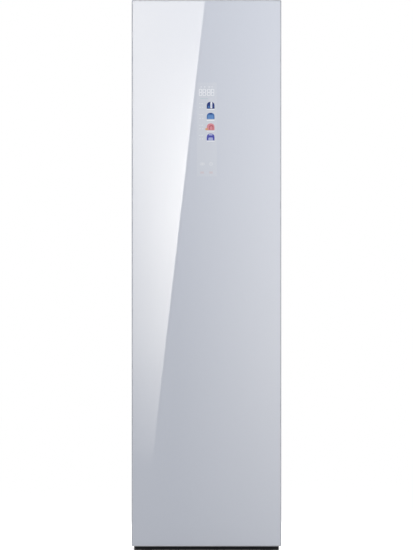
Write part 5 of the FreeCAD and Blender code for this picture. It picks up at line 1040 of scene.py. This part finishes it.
def quilted_pad(name, low, high, surface, outward, body):
    """A pad between two corners across and up, and the stitches in its seams."""
    mesh = bmesh.new()
    middle, half = (low + high) / 2, (high - low) / 2
    plate(mesh, 0, 0, 2 * half.x / MM, 2 * half.y / MM, rounding=PAD_ROUND)
    rows = round(2 * half.y / SEAM_EVERY)
    seams = [half.y * (2 * row / rows - 1) for row in range(1, rows)]
    for sign in (-1, 1):
        for step in SWELL_STEPS:
            cut_across(mesh, "x", sign * (half.x - step))
            for line in (sign * half.y, *seams):
                cut_across(mesh, "y", line - sign * step)
    for seam in seams:
        cut_across(mesh, "y", seam)
    for vert in new_verts(bmesh.ops.extrude_face_region(mesh, geom=mesh.faces[:])):
        gaps = [half.x - abs(vert.co.x), half.y - abs(vert.co.y)] + [abs(vert.co.y - seam) for seam in seams]
        vert.co.z = PAD_THICK - (PAD_THICK - SEAM_THICK) * math.exp(-min(gaps) / SWELL_REACH)
    stand_up(mesh, surface, outward, *middle)
    new_piece(name + "_pad", mesh, ("press_cloth",), body)

    thread = bmesh.new()
    stitches = int((2 * half.x / MM - 2 * STITCH_INSET) / STITCH_PITCH)
    for seam in seams:
        for stitch in range(stitches):
            plate(thread, (stitch - (stitches - 1) / 2) * STITCH_PITCH, seam / MM, STITCH_LONG, STITCH_WIDE,
                  STITCH_CUT, steps=1)
    thicken(thread, STITCH_THICK)
    stand_up(thread, surface + outward * SEAM_THICK, outward, *middle)
    new_piece(name + "_stitches", thread, ("nylon_thread",), body)


# %% Make the pads
PAD_MARGIN = 9 * MM
LUG_ROOM = 16 * MM
BASE_PLATE = 12 * MM
COVER_PLATE = 16 * MM
base_low, base_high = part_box("press_base")
cover_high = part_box("press_cover")[1]
pad_low = Vector((base_low.x + PAD_MARGIN, base_low.z + PAD_MARGIN))
pad_high = Vector((cover_high.x - LUG_ROOM - 2 * PAD_MARGIN, base_high.z - PAD_MARGIN))
quilted_pad("press_base", pad_low, pad_high, base_low.y + BASE_PLATE, 1, "door")
quilted_pad("press_cover", pad_low, pad_high, cover_high.y - COVER_PLATE, -1, "press_cover")

# %% [markdown]
# ## Level marks on the tanks
# A raised scale on each tank's front shows how much water is in it: four short bars, and a long one at the
# fill line. They are plates again, and each scale moves with its own tank.

# %% Mark the tanks
SCALE_ACROSS = 44.0
SCALE_LONG, SCALE_SHORT, SCALE_BAR, SCALE_ROUND = 34.0, 16.0, 1.6, 0.7
SCALE_STEP, SCALE_START = 32.0, 48.0
SCALE_MARKS = 5
SCALE_THICK, SCALE_SUNK = 0.4 * MM, 0.02 * MM
for tank in ("supply_tank", "drain_tank"):
    tank_low, tank_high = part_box(tank)
    outer = 1 if tank_low.x > 0 else -1
    middle = (tank_low.x + tank_high.x) / 2 / MM
    lowest = tank_low.z / MM + SCALE_START
    scale = bmesh.new()
    for mark in range(SCALE_MARKS):
        wide = SCALE_LONG if mark == SCALE_MARKS - 1 else SCALE_SHORT
        plate(scale, middle + outer * (SCALE_ACROSS - wide / 2), lowest + SCALE_STEP * mark, wide, SCALE_BAR,
              SCALE_ROUND)
    thicken(scale, SCALE_THICK)
    stand_up(scale, tank_low.y + SCALE_SUNK)
    new_piece(tank + "_scale", scale, ("white_liner",), tank)

# %% [markdown]
# ## The lint filter's net
# The cassette's two windows hold a fine steel net before the membrane. Its strands are square wires on a
# regular pitch, pressed into one layer. Bars in a loop draw it.

# %% Weave the net
NET_PITCH, WIRE = 3.5, 0.45
NET_HALF, NET_LOW, NET_HIGH = 28.0, 260.0, 376.0
NET_LEVELS = (-162.3, -156.8)
for side, level in zip(("front", "rear"), NET_LEVELS):
    net = bmesh.new()
    for column in range(1, int(2 * NET_HALF / NET_PITCH)):
        plate(net, -NET_HALF + column * NET_PITCH, (NET_LOW + NET_HIGH) / 2, WIRE, NET_HIGH - NET_LOW)
    for row in range(1, int((NET_HIGH - NET_LOW) / NET_PITCH)):
        plate(net, 0, NET_LOW + row * NET_PITCH, 2 * NET_HALF, WIRE)
    thicken(net, WIRE * MM)
    stand_up(net, level * MM)
    new_piece("lint_net_" + side, net, ("steel_hardware",), "lint_filter")

# %% Measure the sizes
low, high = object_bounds()
